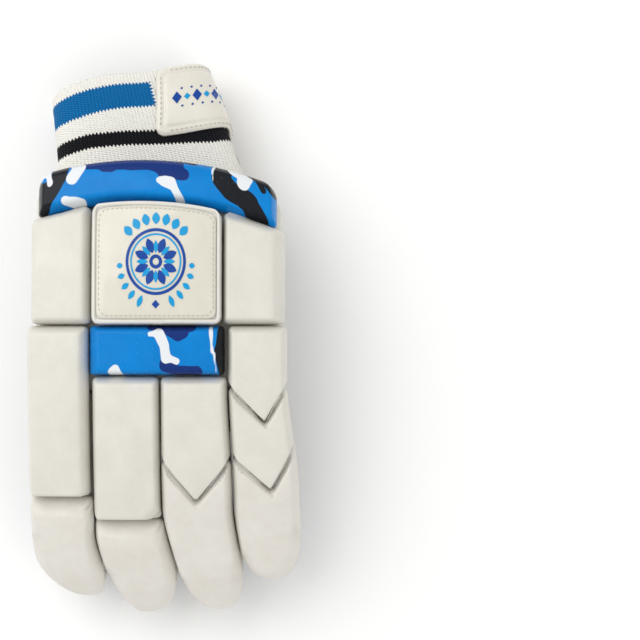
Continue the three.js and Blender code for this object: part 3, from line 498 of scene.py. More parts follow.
class Cushion:
    """A stuffed pad between two ends, which are functions of x. `relief` adds height to its face."""

    def __init__(self, left, right, low, high, **shape):
        self.left = left
        self.right = right
        self.low = low
        self.high = high
        self.base = shape.get("base", PAD_BASE)
        self.thickness = shape.get("thickness", ROLL_THICKNESS)
        self.sides = shape.get("sides", (SIDE_BEVEL, SIDE_BEVEL))
        self.ends = shape.get("ends", (END_BEVEL, END_BEVEL))
        self.corners = shape.get("corners", (CORNER, CORNER))
        self.shear = shape.get("shear", 0)
        self.sheared_from = shape.get("sheared_from", 0)
        self.down = shape.get("down", False)
        self.crown = shape.get("crown", PAD_CROWN)
        self.relief = shape.get("relief")
        self.wall_share = shape.get("wall_share", WALL_SHARE)
        self.tuck = shape.get("tuck", TUCK)
        self.pleats = shape.get("pleats", False)
        self.roundness = shape.get("roundness", EDGE_DROP)
        self.taper = shape.get("taper", 0)
        width = right - left
        middle = np.array([(left + right) / 2])
        rows = int(width / CELL) + 2
        columns = int((high(middle) - low(middle))[0] / CELL) + 2
        self.across = crowded(rows, CROWDING_ACROSS)[:, None]
        self.along = crowded(columns, CROWDING_ALONG)[None, :]

    def plan(self, margin):
        """Where the grid's points lie in the pattern"""
        width = self.right - self.left
        from_left = margin + self.across * (width - 2 * margin)
        flat_x = self.left + from_left
        start = self.low(flat_x) + margin
        reach = self.high(flat_x) - margin - start
        corner = np.where(self.along < 0.5, *self.corners)
        from_end = np.minimum(self.along, 1 - self.along) * reach
        inset = corner * (1 - rise(from_end, np.maximum(corner, 0.01)))
        x = flat_x + inset * (1 - 2 * from_left / width)
        return x, start + self.along * reach, from_left + 0 * self.along

    def face(self):
        x, s, from_left = self.plan(0)
        width = self.right - self.left
        line_x = self.left + width * (1 - np.cos(np.pi * np.linspace(0, 1, EDGE_POINTS))) / 2
        from_low = distance_to_line(x, s, line_x, self.low(line_x))
        from_high = distance_to_line(x, s, line_x, self.high(line_x))
        from_right = width - from_left
        side = soft_min(bevel(from_left, self.sides[0]), bevel(from_right, self.sides[1]), BEVEL_SOFTNESS)
        lengthways = soft_min(bevel(from_low, self.ends[0]), bevel(from_high, self.ends[1]), BEVEL_SOFTNESS)
        if self.taper:
            slanted = (from_right + from_low - self.taper * TAPER_START) / math.sqrt(2)
            side = soft_min(side, bevel(np.maximum(slanted, 0), self.taper), BEVEL_SOFTNESS)
        wall = self.thickness * self.wall_share
        share = np.clip(soft_min(side, lengthways, BEVEL_SOFTNESS), 0, FULLEST)
        height = wall + (self.thickness - wall) * share
        edge = np.minimum(np.minimum(from_left, from_right), np.minimum(from_low, from_high))
        height += self.crown * (1 - (2 * from_left / width - 1) ** 2) * (1 - (2 * self.along - 1) ** 4)
        height -= self.roundness * np.exp(-((edge / EDGE_ROUND) ** 2))
        uneven = sum(depth * rough(x, s, size, self.base) for size, depth in FACE_ROUGHNESS)
        height += smoothstep(edge, 0, FACE_MARGIN) * uneven
        if self.relief:
            height += self.relief(x, s, edge, from_low, from_high)
        sign = -1 if self.down else 1
        return np.stack([x + self.shear * (s - self.sheared_from), s, self.base + sign * height], axis=-1)

    def body(self):
        top = self.face()
        x, s, _ = self.plan(self.tuck)
        flat = np.full(x.shape, float(self.base))
        bottom = np.stack([x + self.shear * (s - self.sheared_from), s, flat], axis=-1)
        points, faces = body_between(top, bottom, rim=PAD_RIM)
        if self.pleats:
            points = self.gathered(points, 2 * top[..., 0].size)
        return points, faces, top

    def gathered(self, points, first):
        """Gathers the wall round the fingertip into pleats"""
        wall = points[first:].reshape(len(PAD_RIM), -1, 3)
        middle = (self.left + self.right) / 2
        away = wall[..., :2] - (middle, self.low(np.array([middle]))[0] + PLEAT_CENTRE)
        turn = np.arctan2(away[..., 1], away[..., 0])
        depth = np.linalg.norm(away, axis=-1)
        share = smoothstep(-away[..., 1], 0, PLEATS_FADE) * np.array(PLEAT_SHARES)[:, None]
        phase = turn * depth / PLEAT_PITCH * 2 * np.pi + 2 * rough(turn * 4, depth * 0, 1)
        inwards = share * (PLEAT_SWELL + PLEAT_DEPTH * np.sin(phase))
        wall[..., :2] -= away / depth[..., None] * inwards[..., None]
        points[first:] = wall.reshape(-1, 3)
        return points


def height_on(surface, x, s):
    """Height of a pad's face at places in the pattern, from its nearest points"""
    flat = surface.reshape(-1, 3)
    gaps = np.hypot(flat[:, 0] - np.asarray(x)[:, None], flat[:, 1] - np.asarray(s)[:, None])
    nearest = np.argsort(gaps, axis=1)[:, :4]
    weights = 1 / (np.take_along_axis(gaps, nearest, axis=1) + 0.05)
    return (flat[nearest, 2] * weights).sum(1) / weights.sum(1)


def spread_evenly(path, step):
    """The same path with its points a step apart, and their places along it"""
    lengths = np.concatenate([[0], np.cumsum(np.linalg.norm(np.diff(path[:, :2], axis=0), axis=1))])
    places = np.linspace(0, lengths[-1], int(lengths[-1] / step) + 2)
    return np.stack([np.interp(places, lengths, column) for column in path.T], axis=1), places


def at_level(path, h):
    """A path in the flat pattern, laid at a level through the hand"""
    return np.column_stack([path, np.full(len(path), h)])


def round_path(direction, sides):
    """The direction of each place on a path, and a ring of points round it, a millimetre away"""
    direction = direction / (np.linalg.norm(direction, axis=1)[:, None] + 1e-9)
    up = np.array([0.0, 0.0, 1.0]) - direction * direction[:, 2:3]
    up /= np.linalg.norm(up, axis=1)[:, None] + 1e-9
    across = np.cross(up, direction)
    turn = (np.arange(sides) * 2 * np.pi / sides)[None, :, None]
    return direction, across[:, None] * np.cos(turn) + up[:, None] * np.sin(turn)


# Stitches: their length, the gap between them and their radius
FINE_STITCH = (1.2, 0.9, 0.24)
PLATE_STITCH = (1.5, 1.0, 0.27)
PATCH_STITCH = (1.6, 1.3, 0.3)
PALM_STITCH = (1.7, 1.4, 0.3)
BINDING_STITCH = (1.7, 1.4, 0.28)
STRAP_STITCH = (1.5, 1.1, 0.36)
# A stitch's rings of points: their places along it, and their sizes
STITCH_RINGS = ((-0.5, 0.4), (-0.3, 0.95), (0.3, 0.95), (0.5, 0.4))
STITCH_SIDES = 6


def stitch_row(path, length, gap, radius):
    """Points and faces of stitches along a path of pattern points"""
    path = np.asarray(path, float)
    lengths = np.concatenate([[0], np.cumsum(np.linalg.norm(np.diff(path, axis=0), axis=1))])
    count = max(1, int(lengths[-1] / (length + gap)))
    places = (np.arange(count) + 0.5) * lengths[-1] / count
    ends = [
        np.stack([np.interp(places + side * length / 2, lengths, column) for column in path.T], axis=1)
        for side in (-1, 1)
    ]
    middle = (ends[0] + ends[1]) / 2
    direction, circle = round_path(ends[1] - ends[0], STITCH_SIDES)
    rings = [
        middle[:, None] + direction[:, None] * (place * length) + radius * share * circle
        for place, share in STITCH_RINGS
    ]
    points = np.stack(rings, axis=1).reshape(-1, 3)
    whole = len(STITCH_RINGS) * STITCH_SIDES
    faces = []
    for ring in range(len(STITCH_RINGS) - 1):
        for side in range(STITCH_SIDES):
            a = ring * STITCH_SIDES + side
            b = ring * STITCH_SIDES + (side + 1) % STITCH_SIDES
            faces.append([a, b, b + STITCH_SIDES, a + STITCH_SIDES])
    quads = (np.array(faces)[None] + np.arange(count)[:, None, None] * whole).reshape(-1, 4).tolist()
    caps = []
    for start in (0, whole - STITCH_SIDES):
        cap = np.arange(STITCH_SIDES) + start
        caps += (cap[None] + np.arange(count)[:, None] * whole).tolist()
    return points, quads + caps


def joined(parts):
    """Several bodies, each as points and faces, as one"""
    points = []
    faces = []
    count = 0
    for body_points, body_faces in parts:
        points.append(body_points)
        faces += [[int(k) + count for k in face] for face in body_faces]
        count += len(body_points)
    return np.concatenate(points), faces


def tube(path, radius, sides=8, closed=False):
    """A round cord along a path of pattern points"""
    path = np.asarray(path, float)
    ahead = np.roll(path, -1, axis=0) - np.roll(path, 1, axis=0)
    if not closed:
        ahead[0] = path[1] - path[0]
        ahead[-1] = path[-1] - path[-2]
    points = path[:, None] + radius * round_path(ahead, sides)[1]
    count = len(path)
    faces = []
    for i in range(count if closed else count - 1):
        for side in range(sides):
            following = (side + 1) % sides
            after = (i + 1) % count
            corners = ((i, side), (i, following), (after, following), (after, side))
            faces.append([place * sides + turn for place, turn in corners])
    if not closed:
        faces.append(list(range(sides)))
        faces.append(list(range((count - 1) * sides, count * sides)))
    return points.reshape(-1, 3), faces


# Ends of the pads, as functions of x
def row_top(x):
    return KNUCKLE_TO_BADGE + BADGE_LENGTH - ROW_SKEW * x - ROW_BOW * (x / SHELL_HALF) ** 2


def band_top(x):
    return row_top(x) + BAND_LENGTH


def level(s):
    return lambda x: s + 0 * x


def plus(line, clearance):
    return lambda x: line(x) + clearance


def chevron(finger, point, reach, depth, skew=0):
    def line(x):
        before = (point - x) / (point - finger.left)
        after = (x - point) / (finger.right - point)
        off = np.minimum(1, np.where(x < point, before, after))
        return -reach + depth * np.where(x < point, 1 - skew, 1 + skew) * off

    return line


def fingertip(left, right, far, reach, rounds):
    def line(x):
        off = np.where(x < far, (far - x) / (far - left), (x - far) / (right - far))
        turn = 1 - np.sqrt(1 - np.clip(off, 0, 0.999) ** TIP_FULLNESS)
        return -reach + np.where(x < far, rounds[0], rounds[1]) * turn

    return line


RING_END = chevron(RING, RING.middle, RING_ROLL, RING_POINT)
LITTLE_UPPER_END = chevron(LITTLE, LITTLE_POINT, LITTLE_UPPER_ROLL, LITTLE_UPPER_POINT)
LITTLE_LOWER_END = chevron(LITTLE, LITTLE_POINT, LITTLE_LOWER_ROLL, LITTLE_LOWER_POINT, LITTLE_LOWER_SKEW)
ROLL_ENDS = (level(-INDEX_ROLL), level(-MIDDLE_ROLL), RING_END, LITTLE_LOWER_END)


# Materials
COAT_ROUGHNESS = 0.12


class Look:
    """A node material: a shader, and helpers that add nodes and link them"""

    def __init__(self, name, specular=0.4, sheen=0.0, coat=0.0):
        self.material = bpy.data.materials.new(name)
        self.material.use_nodes = True
        self.tree = self.material.node_tree
        self.shader = self.tree.nodes["Principled BSDF"]
        self.shader.inputs["Specular IOR Level"].default_value = specular
        self.shader.inputs["Sheen Weight"].default_value = sheen
        self.shader.inputs["Coat Weight"].default_value = coat
        self.shader.inputs["Coat Roughness"].default_value = COAT_ROUGHNESS
        self.normal = None

    def node(self, kind, *links, **settings):
        fresh = self.tree.nodes.new("ShaderNode" + kind)
        for key, value in settings.items():
            setattr(fresh, key, value)
        for i, link in enumerate(links):
            self.feed(fresh.inputs[i], link)
        return fresh

    def feed(self, socket, value):
        if value is None:
            return
        if isinstance(value, bpy.types.NodeSocket):
            self.tree.links.new(value, socket)
        else:
            socket.default_value = value

    def math(self, operation, a, b=None):
        return self.node("Math", a, b, operation=operation).outputs[0]

    def add(self, a, b):
        return self.math("ADD", a, b)

    def subtract(self, a, b):
        return self.math("SUBTRACT", a, b)

    def multiply(self, a, b):
        return self.math("MULTIPLY", a, b)

    def divide(self, a, b):
        return self.math("DIVIDE", a, b)

    def attribute(self, name, output="Fac"):
        return self.node("Attribute", attribute_name=name).outputs[output]

    def axis(self, index):
        return self.node("SeparateXYZ", self.attribute("pattern", "Vector")).outputs[index]

    def noise(self, size, detail=2.0):
        texture = self.node("TexNoise")
        self.feed(texture.inputs["Vector"], self.attribute("pattern", "Vector"))
        texture.inputs["Scale"].default_value = 1 / size
        texture.inputs["Detail"].default_value = detail
        return texture.outputs["Fac"]

    def cells(self, size, feature="F1"):
        texture = self.node("TexVoronoi", feature=feature)
        self.feed(texture.inputs["Vector"], self.attribute("pattern", "Vector"))
        texture.inputs["Scale"].default_value = 1 / size
        return texture.outputs["Distance"]

    def between(self, value, low, high, to_low=0.0, to_high=1.0):
        ends = [float(end) for end in (low, high, to_low, to_high)]
        return self.node("MapRange", value, *ends).outputs[0]

    def uneven(self, size, detail, height):
        """Noise about zero"""
        return self.multiply(self.subtract(self.noise(size, detail), 0.5), height)

    def patchy(self, size, detail, low, high):
        """A value that drifts between two others over the surface"""
        return self.between(self.noise(size, detail), 0.3, 0.7, low, high)

    def mix(self, share, a, b):
        """Colours are red, green and blue, or another node's colour"""
        mixed = self.node("Mix", data_type="RGBA")
        self.feed(mixed.inputs["Factor"], share)
        for place, colour in ((6, a), (7, b)):
            self.feed(mixed.inputs[place], (*colour, 1) if isinstance(colour, tuple) else colour)
        return mixed.outputs[2]

    def bump(self, height, depth):
        """Depth in millimetres. Each bump lies on the one before."""
        raised = self.node("Bump")
        self.feed(raised.inputs["Height"], height)
        raised.inputs["Distance"].default_value = depth / 1000
        if self.normal is not None:
            self.feed(raised.inputs["Normal"], self.normal)
        self.normal = raised.outputs[0]

    def done(self, colour=None, roughness=None):
        self.feed(self.shader.inputs["Base Color"], colour)
        self.feed(self.shader.inputs["Roughness"], roughness)
        self.feed(self.shader.inputs["Normal"], self.normal)
        return self.material


def leather_tone(look, light, dark):
    tone = look.add(look.noise(16, 4), look.multiply(look.noise(3, 3), 0.4))
    return look.mix(look.between(tone, 0.5, 0.95), dark, light)


def leather_look(name, light, dark, roughness, grain, depth, crease_depth, coat):
    look = Look(name, coat=coat)
    look.bump(look.cells(grain, "SMOOTH_F1"), depth)
    look.bump(look.noise(2.2, 3), depth * 1.6)
    if crease_depth:
        look.bump(look.noise(7, 5), crease_depth)
    return look.done(leather_tone(look, light, dark), look.patchy(12, 3, roughness - 0.06, roughness + 0.08))


CAMOUFLAGE_INKS = {
    "navy": (0.005, 0.028, 0.17),
    "black": (0.008, 0.010, 0.014),
    "white": (0.74, 0.77, 0.80),
    "black_over": (0.008, 0.010, 0.014),
}
GROUND_BLUES = ((0.0, 0.19, 0.56), (0.0, 0.22, 0.63))
BLOB_EDGE = 0.14
SPECK_TONE = (0.5, 0.65, 0.8)


def camouflage_look(name):
    look = Look(name, specular=0.15, coat=0.05)
    look.bump(look.cells(0.7, "SMOOTH_F1"), 0.03)
    look.bump(look.noise(3, 3), 0.06)
    colour = look.mix(look.between(look.noise(20, 3), 0.35, 0.65), *GROUND_BLUES)
    for key in COLOURS:
        inside = look.between(look.attribute(key), BLOB_EDGE, -BLOB_EDGE)
        colour = look.mix(inside, colour, CAMOUFLAGE_INKS[key])
    specks = look.between(look.cells(2.4), 0.07, 0.04)
    colour = look.mix(look.multiply(specks, 0.4), colour, SPECK_TONE)
    return look.done(colour, look.patchy(9, 3, 0.2, 0.34))


TOOTH = 1.9
TOOTH_HEIGHT = 2.6
KNIT_STITCH = 1.25
KNIT_SLANT = 0.55
KNIT_DEPTH = 0.6
KNIT_ROUGHNESS = 0.85


def knit_bumps(look, along, across):
    """Slanted stitches in rows, as a height from 0 to 1"""
    row = look.divide(along, TOOTH)
    slant = look.add(look.divide(across, KNIT_STITCH), look.multiply(row, KNIT_SLANT))
    across_row = look.math("SINE", look.multiply(look.math("FRACT", row), math.pi))
    stitches = look.math("SINE", look.multiply(slant, 2 * math.pi))
    lifted = look.multiply(look.add(stitches, 1.2), 0.45)
    return look.multiply(across_row, lifted)


def teeth(look, along):
    """The jagged edge of a knitted stripe"""
    wave = look.math("ABSOLUTE", look.subtract(look.math("FRACT", look.divide(along, TOOTH)), 0.5))
    return look.add(look.multiply(wave, TOOTH_HEIGHT), look.uneven(1.6, 1, 0.8))


def stripe(look, place, low, high, soft=0.1):
    """1 between two places, 0 beyond them"""
    enters = look.between(place, low - soft, low + soft)
    leaves = look.between(place, high - soft, high + soft, 1, 0)
    return look.multiply(enters, leaves)


# Knitted yarns: the tone on top of the stitches, then a darker tone that paints the shade between them
KNIT_CREAM = ((0.96, 0.95, 0.905), (0.86, 0.845, 0.775))
KNIT_BLUE = ((0.003, 0.21, 0.52), (0.002, 0.10, 0.30))
KNIT_BLACK = ((0.012, 0.013, 0.016), (0.004, 0.004, 0.006))
KNIT_WHITE = ((0.88, 0.88, 0.87), (0.70, 0.70, 0.69))
CUFF_BLUE = (7.2, 20.4)
CUFF_BLACK = (30.2, 37.6)
# How much further from the rim the black stripe lies on the strap's side, and between which degrees round
# the cuff it gets there
BLACK_DROP = 6.5
BLACK_DROPS = ((118, 50), (262, 310))
# Degrees round the cuff where the blue stripe ends
BLUE_START = 83.5
BLUE_END = 235


def shaded_yarn(look, height, tones):
    """Lighter on top of the stitches, darker between them: the dark tone is painted shade in the crevices,
    not a darker yarn
    """
    return look.mix(height, tones[1], tones[0])


def cuff_look():
    look = Look("cuff_knit", specular=0.1, sheen=0.05)
    around = look.attribute("around")
    from_rim = look.attribute("from_rim")
    height = knit_bumps(look, around, from_rim)
    look.bump(height, KNIT_DEPTH)
    look.bump(look.noise(0.9, 2), 0.12)
    place = look.add(from_rim, teeth(look, around))
    colour = shaded_yarn(look, height, KNIT_CREAM)
    slanted = look.subtract(look.attribute("turn"), look.multiply(teeth(look, from_rim), 1.2))
    blue = look.multiply(stripe(look, place, *CUFF_BLUE), stripe(look, slanted, BLUE_START, BLUE_END, 0.3))
    colour = look.mix(blue, colour, shaded_yarn(look, height, KNIT_BLUE))
    drops = [look.between(look.attribute("turn"), *span, 0, BLACK_DROP) for span in BLACK_DROPS]
    black = stripe(look, look.subtract(place, look.add(*drops)), *CUFF_BLACK)
    colour = look.mix(black, colour, shaded_yarn(look, height, KNIT_BLACK))
    return look.done(colour, KNIT_ROUGHNESS)


# Levels through the hand where the stripes of the knitted finger sides change
GUSSET_BLACK = (1.6, 4.6)
GUSSET_BLUE = (-6.6, 0.4)
GUSSET_CREAM = 4.6


def gusset_look():
    look = Look("gusset_knit", specular=0.1, sheen=0.05)
    run = look.attribute("run")
    level_here = look.axis(2)
    height = knit_bumps(look, level_here, run)
    look.bump(height, KNIT_DEPTH)
    place = look.add(level_here, look.uneven(2.5, 2, 0.7))
    colour = shaded_yarn(look, height, KNIT_WHITE)
    cream = look.between(place, GUSSET_CREAM - 0.1, GUSSET_CREAM + 0.1)
    colour = look.mix(cream, colour, shaded_yarn(look, height, KNIT_CREAM))
    colour = look.mix(stripe(look, place, *GUSSET_BLACK), colour, shaded_yarn(look, height, KNIT_BLACK))
    colour = look.mix(stripe(look, place, *GUSSET_BLUE), colour, shaded_yarn(look, height, KNIT_BLUE))
    return look.done(colour, KNIT_ROUGHNESS)


MESH_ROW = 2.9
MESH_COLUMN = 3.3
MESH_THREAD = ((0.82, 0.815, 0.80), (0.74, 0.73, 0.71))
MESH_SHADE = (0.30, 0.29, 0.27)


def mesh_look():
    look = Look("thumb_mesh", specular=0.2, sheen=0.1)
    row = look.divide(look.axis(2), MESH_ROW)
    shift = look.multiply(look.math("FLOORED_MODULO", look.math("FLOOR", row), 2.0), 0.5)
    column = look.add(look.divide(look.attribute("run"), MESH_COLUMN), shift)
    off_x = look.multiply(look.subtract(look.math("FRACT", column), 0.5), MESH_COLUMN)
    off_y = look.multiply(look.subtract(look.math("FRACT", row), 0.5), MESH_ROW)
    away = look.math("SQRT", look.add(look.math("POWER", off_x, 2.0), look.math("POWER", off_y, 2.0)))
    look.bump(look.between(away, 0.5, 1.25), 0.8)
    look.bump(look.noise(0.8, 2), 0.15)
    threads = leather_tone(look, *MESH_THREAD)
    return look.done(look.mix(look.between(away, 0.95, 0.7), threads, MESH_SHADE), 0.75)


def thread_look(name, light, dark):
    look = Look(name, specular=0.3)
    look.bump(look.noise(0.35, 2), 0.06)
    return look.done(look.mix(look.noise(1.5, 2), dark, light), 0.6)


def print_look(name, light, dark):
    look = Look(name, specular=0.25, coat=0.1)
    look.bump(look.noise(2, 2), 0.03)
    return look.done(look.mix(look.noise(8, 3), dark, light), look.patchy(5, 2, 0.2, 0.3))


# Leathers: light and dark tone, roughness, size and depth of the grain, depth of the creases, and coat
LEATHERS = {
    "roll_leather": ((0.71, 0.69, 0.635), (0.655, 0.635, 0.575), 0.42, 0.8, 0.05, 0.0, 0.0),
    "tip_leather": ((0.73, 0.705, 0.652), (0.67, 0.643, 0.588), 0.42, 0.8, 0.05, 0.12, 0.0),
    "backing_leather": ((0.70, 0.68, 0.61), (0.64, 0.62, 0.55), 0.5, 0.8, 0.05, 0.0, 0.0),
    "palm_leather": ((0.72, 0.72, 0.71), (0.62, 0.61, 0.605), 0.5, 0.9, 0.07, 0.5, 0.0),
    "badge_leather": ((0.75, 0.735, 0.69), (0.70, 0.685, 0.635), 0.25, 0.8, 0.02, 0.0, 0.3),
    "badge_sheet": ((0.68, 0.655, 0.57), (0.65, 0.62, 0.53), 0.2, 0.6, 0.012, 0.0, 0.5),
    "strap_sheet": ((0.74, 0.715, 0.635), (0.70, 0.67, 0.59), 0.24, 0.6, 0.012, 0.1, 0.45),
    "binding_leather": ((0.79, 0.77, 0.71), (0.73, 0.70, 0.63), 0.28, 0.8, 0.03, 0.2, 0.2),
}
leathers = {name: leather_look(name, *values) for name, values in LEATHERS.items()}
CAMOUFLAGE = camouflage_look("camouflage_leather")
CUFF_LOOK = cuff_look()
GUSSET_LOOK = gusset_look()
MESH_LOOK = mesh_look()
PALE_THREAD = thread_look("pale_thread", (0.62, 0.60, 0.54), (0.42, 0.40, 0.35))
GREY_THREAD = thread_look("grey_thread", (0.36, 0.34, 0.31), (0.24, 0.23, 0.21))
WHITE_THREAD = thread_look("white_thread", (0.84, 0.83, 0.80), (0.7, 0.69, 0.66))
NAVY_PRINT = print_look("navy_print", (0.002, 0.06, 0.34), (0.002, 0.045, 0.27))
CYAN_PRINT = print_look("cyan_print", (0.002, 0.33, 0.66), (0.002, 0.28, 0.58))
# Painted shade for the vent holes
VENT_HOLE_SHADE = thread_look("hole_shade", (0.03, 0.028, 0.025), (0.015, 0.014, 0.012))


def leather(name):
    """A leather's material and its slot, which has the same name"""
    return leathers[name], name


# The padded back of the hand
def between(left, right):
    """The sides of a pad between two seams"""
    return left + PAD_CLEARANCE / 2, right - PAD_CLEARANCE / 2


def add_pad(name, material, slot, sides, low, high, fill=0.9, chart=None, shape=None):
    pad = Cushion(*sides, low, high, **(shape or PAD_SHAPES[name]))
    points, faces, face = pad.body()
    surfaces[name] = face
    attributes = None
    if chart:
        x = points[:, 0] - pad.shear * (points[:, 1] - pad.sheared_from)
        start = low(x)
        length = float(np.median(high(x) - start))
        along = (points[:, 1] - start) / (high(x) - start) * length
        attributes = camouflage(chart, x - pad.left, along, pad.right - pad.left, length)
    add_piece(name + "_look", (points, faces), material, slot, [name], fill, attributes)


RIM_BEAD = 1.7
RIM_PLACE = 1.4
RIM_WIDTH = 1.1


def badge_bead(x, s, edge, from_low, from_high):
    """The raised white border round the badge plate"""
    return RIM_BEAD * np.exp(-(np.abs(edge - RIM_PLACE) / RIM_WIDTH) ** 4)


# The flat strip of the band's face, as distances from its end at the cuff, and how steeply the face slopes
# away from the strip towards the cuff and towards the badge
BAND_FLAT = (8, 12)
BAND_SLOPES = (0.09, 0.07)


def band_ridge(x, s, edge, from_low, from_high):
    """The band's face slopes away on both sides of a flat strip along it"""
    to_badge = BAND_SLOPES[1] * np.maximum(0, from_high - BAND_FLAT[1])
    return -to_badge - BAND_SLOPES[0] * np.maximum(0, BAND_FLAT[0] - from_high)


# Folds at the corner of a tip pad behind its roll: where each starts and ends, as distances from the pad's
# right edge and from the roll
TIP_FOLDS = (
    ((0, 2.5), (4.5, 12)),
    ((0.5, 3.7), (6, 10.2)),
    ((1, 4.9), (7.5, 8.4)),
    ((1.5, 6.1), (9, 6.6)),
)
TIP_FOLD_DEPTH = 0.6
TIP_FOLD_WIDTH = 0.7
TIP_EDGE = 1
LEFT_FOLD = ((0, 4), (-5, 9))
LEFT_FOLD_DEPTH = 0.4
LEFT_FOLD_WIDTH = 0.9
V_SWELL = (1.9, 12)
ROLL_HOLLOW = (-2.0, 7)
TIP_UNEVENNESS = 0.12


def tip_relief(finger):
    """A hollow where the tip pad starts behind its roll, with small folds at its corners"""
    top = ROLL_ENDS[FINGERS.index(finger)]
    pointed = finger in (RING, LITTLE)
    depth, reach = V_SWELL if pointed else ROLL_HOLLOW

    def fold(x, s, edge, start, end, width):
        line_s = top(np.array([edge]))[0]
        return crease(x, s, (edge - start[0], line_s - start[1]), (edge - end[0], line_s - end[1]), width)

    def relief(x, s, edge, from_low, from_high):
        height = depth * np.exp(-((from_high / reach) ** 2))
        if not pointed:
            for start, end in TIP_FOLDS:
                height -= TIP_FOLD_DEPTH * fold(x, s, finger.right - TIP_EDGE, start, end, TIP_FOLD_WIDTH)
            height -= LEFT_FOLD_DEPTH * fold(x, s, finger.left + TIP_EDGE, *LEFT_FOLD, LEFT_FOLD_WIDTH)
        height += TIP_UNEVENNESS * rough(x * 0.5, s, 4, 9) * smoothstep(edge, 1, 5)
        return height

    return relief


ROLL_FOLDS = 3
ROLL_FOLD_PITCH = 1.6
ROLL_FOLD_LENGTH = 5
ROLL_FOLD_DEPTH = 0.18
ROLL_FOLD_WIDTH = 0.8


def roll_relief(right, s_start):
    """Faint folds near a roll's corner, from a place towards the left"""

    def relief(x, s, edge, from_low, from_high):
        height = 0.0 * x
        for i in range(ROLL_FOLDS):
            at = s_start - ROLL_FOLD_PITCH * i
            end = (right - (ROLL_FOLD_LENGTH + i), at - ROLL_FOLD_PITCH / 2)
            height -= ROLL_FOLD_DEPTH * crease(x, s, (right, at), end, ROLL_FOLD_WIDTH)
        return height

    return relief


V_SEAM = 0.6
# Shapes of the pads. Bevels: `sides` at the left and the right, `ends` towards the fingertips and the cuff.
PAD_SHAPES = {
    "index_side_block": {"sides": (SIDE_BEVEL, 4.6), "ends": (3, 4)},
    "little_side_block": {"sides": (SIDE_BEVEL, 7), "ends": (3, 5)},
    "badge_panel": {
        "sides": (BADGE_SHOULDER / 3, BADGE_SHOULDER / 3),
        "ends": (BADGE_SHOULDER / 3, BADGE_SHOULDER / 3),
        "corners": (4, 5),
        "relief": badge_bead,
        "crown": 0,
        "roundness": 0,
        "wall_share": 0.8,
    },
    "badge_plate": {
        "base": PAD_BASE + ROLL_THICKNESS + LAYER_GAP,
        "thickness": BADGE_PLATE,
        "sides": (0.8, 0.8),
        "ends": (0.8, 0.8),
        "corners": (3.5, 4.5),
        "crown": 0.25,
        "tuck": 0.2,
        "roundness": 0.3,
    },
    "knuckle_roll": {"sides": (4.5, 3), "ends": (2.6, 2.6), "corners": (2, 2)},
    "wrist_band_pad": {
        "corners": (1.5, BAND_CORNER),
        "sides": (3.5, 3.5),
        "ends": (3, 4.5),
        "relief": band_ridge,
        "crown": 0.3,
    },
    "index_roll": {
        "sides": (SIDE_BEVEL, 5.6),
        "ends": (3, 4),
        "taper": 5,
        "relief": roll_relief(INDEX.right - 9, 20),
    },
    "middle_roll": {
        "sides": (SIDE_BEVEL, 3.4),
        "ends": (3, 3.5),
        "taper": 7,
        "relief": roll_relief(MIDDLE.right - 6, -5),
    },
    "ring_roll": {"sides": (SIDE_BEVEL, 3.2), "ends": (1.3, 3.5)},
    "little_upper_roll": {"sides": (SIDE_BEVEL, 3.0), "ends": (1.3, 3.5)},
    "little_lower_roll": {"sides": (SIDE_BEVEL, 3.0), "ends": (1.3, 1.2)},
}


def add_back():
    seam = PAD_CLEARANCE / 2
    row = (level(KNUCKLE_TO_BADGE + seam), plus(row_top, -seam))
    badge_end = RING.right - BADGE_INSET
    over_knuckle = level(KNUCKLE_TO_BADGE - seam)
    under_knuckle = level(-seam)
    white = leather("roll_leather")
    add_pad("index_side_block", *white, between(INDEX.left + SIDE_INSET, INDEX.right), *row)
    add_pad("little_side_block", *white, between(badge_end, LITTLE.right - LITTLE_SIDE_INSET), *row)
    panel = between(MIDDLE.left, badge_end)
    add_pad("badge_panel", *leather("badge_leather"), panel, *row)
    plate = (panel[0] + PLATE_INSET, panel[1] - PLATE_INSET)
    plate_ends = (plus(row[0], PLATE_INSET), plus(row[1], -PLATE_INSET))
    add_pad("badge_plate", *leather("badge_sheet"), plate, *plate_ends, fill=None)
    camouflaged = (CAMOUFLAGE, "camouflage_leather")
    knuckle = between(MIDDLE.left - KNUCKLE_SHIFT, RING.right - KNUCKLE_SHIFT)
    add_pad("knuckle_roll", *camouflaged, knuckle, level(seam), over_knuckle, chart=KNUCKLE_CHART)
    band = between(INDEX.left + BAND_INSET, LITTLE.right - BAND_INSET)
    add_pad("wrist_band_pad", *camouflaged, band, plus(row_top, seam), band_top, chart=BAND_CHART)
    index = between(INDEX.left, INDEX.right - KNUCKLE_SHIFT)
    add_pad("index_roll", *white, index, level(-INDEX_ROLL), over_knuckle)
    add_pad("middle_roll", *white, between(MIDDLE.left, MIDDLE.right), level(-MIDDLE_ROLL), under_knuckle)
    add_pad("ring_roll", *white, between(RING.left, RING.right), RING_END, under_knuckle)
    little = between(LITTLE.left, LITTLE.right)
    add_pad("little_upper_roll", *white, little, LITTLE_UPPER_END, over_knuckle)
    add_pad("little_lower_roll", *white, little, LITTLE_LOWER_END, plus(LITTLE_UPPER_END, -V_SEAM))


def add_tip_pads():
    for finger, roll_end in zip(FINGERS, ROLL_ENDS):
        sides = between(finger.left, finger.right)
        pointed = finger in (RING, LITTLE)
        tip = {
            "thickness": TIP_THICKNESS,
            "sides": (SIDE_BEVEL, 3.6 if pointed else 5.5),
            "ends": (7, 1.2 if pointed else 7),
            "relief": tip_relief(finger),
            "pleats": True,
            "crown": 0.9,
        }
        end = fingertip(*sides, finger.far, finger.reach, finger.rounds)
        name = finger.name + "_tip_pad"
        top = plus(roll_end, -(V_SEAM if pointed else ROLL_SEAM))
        add_pad(name, leathers["tip_leather"], "roll_leather", sides, end, top, shape=tip)


WELT = 1.6


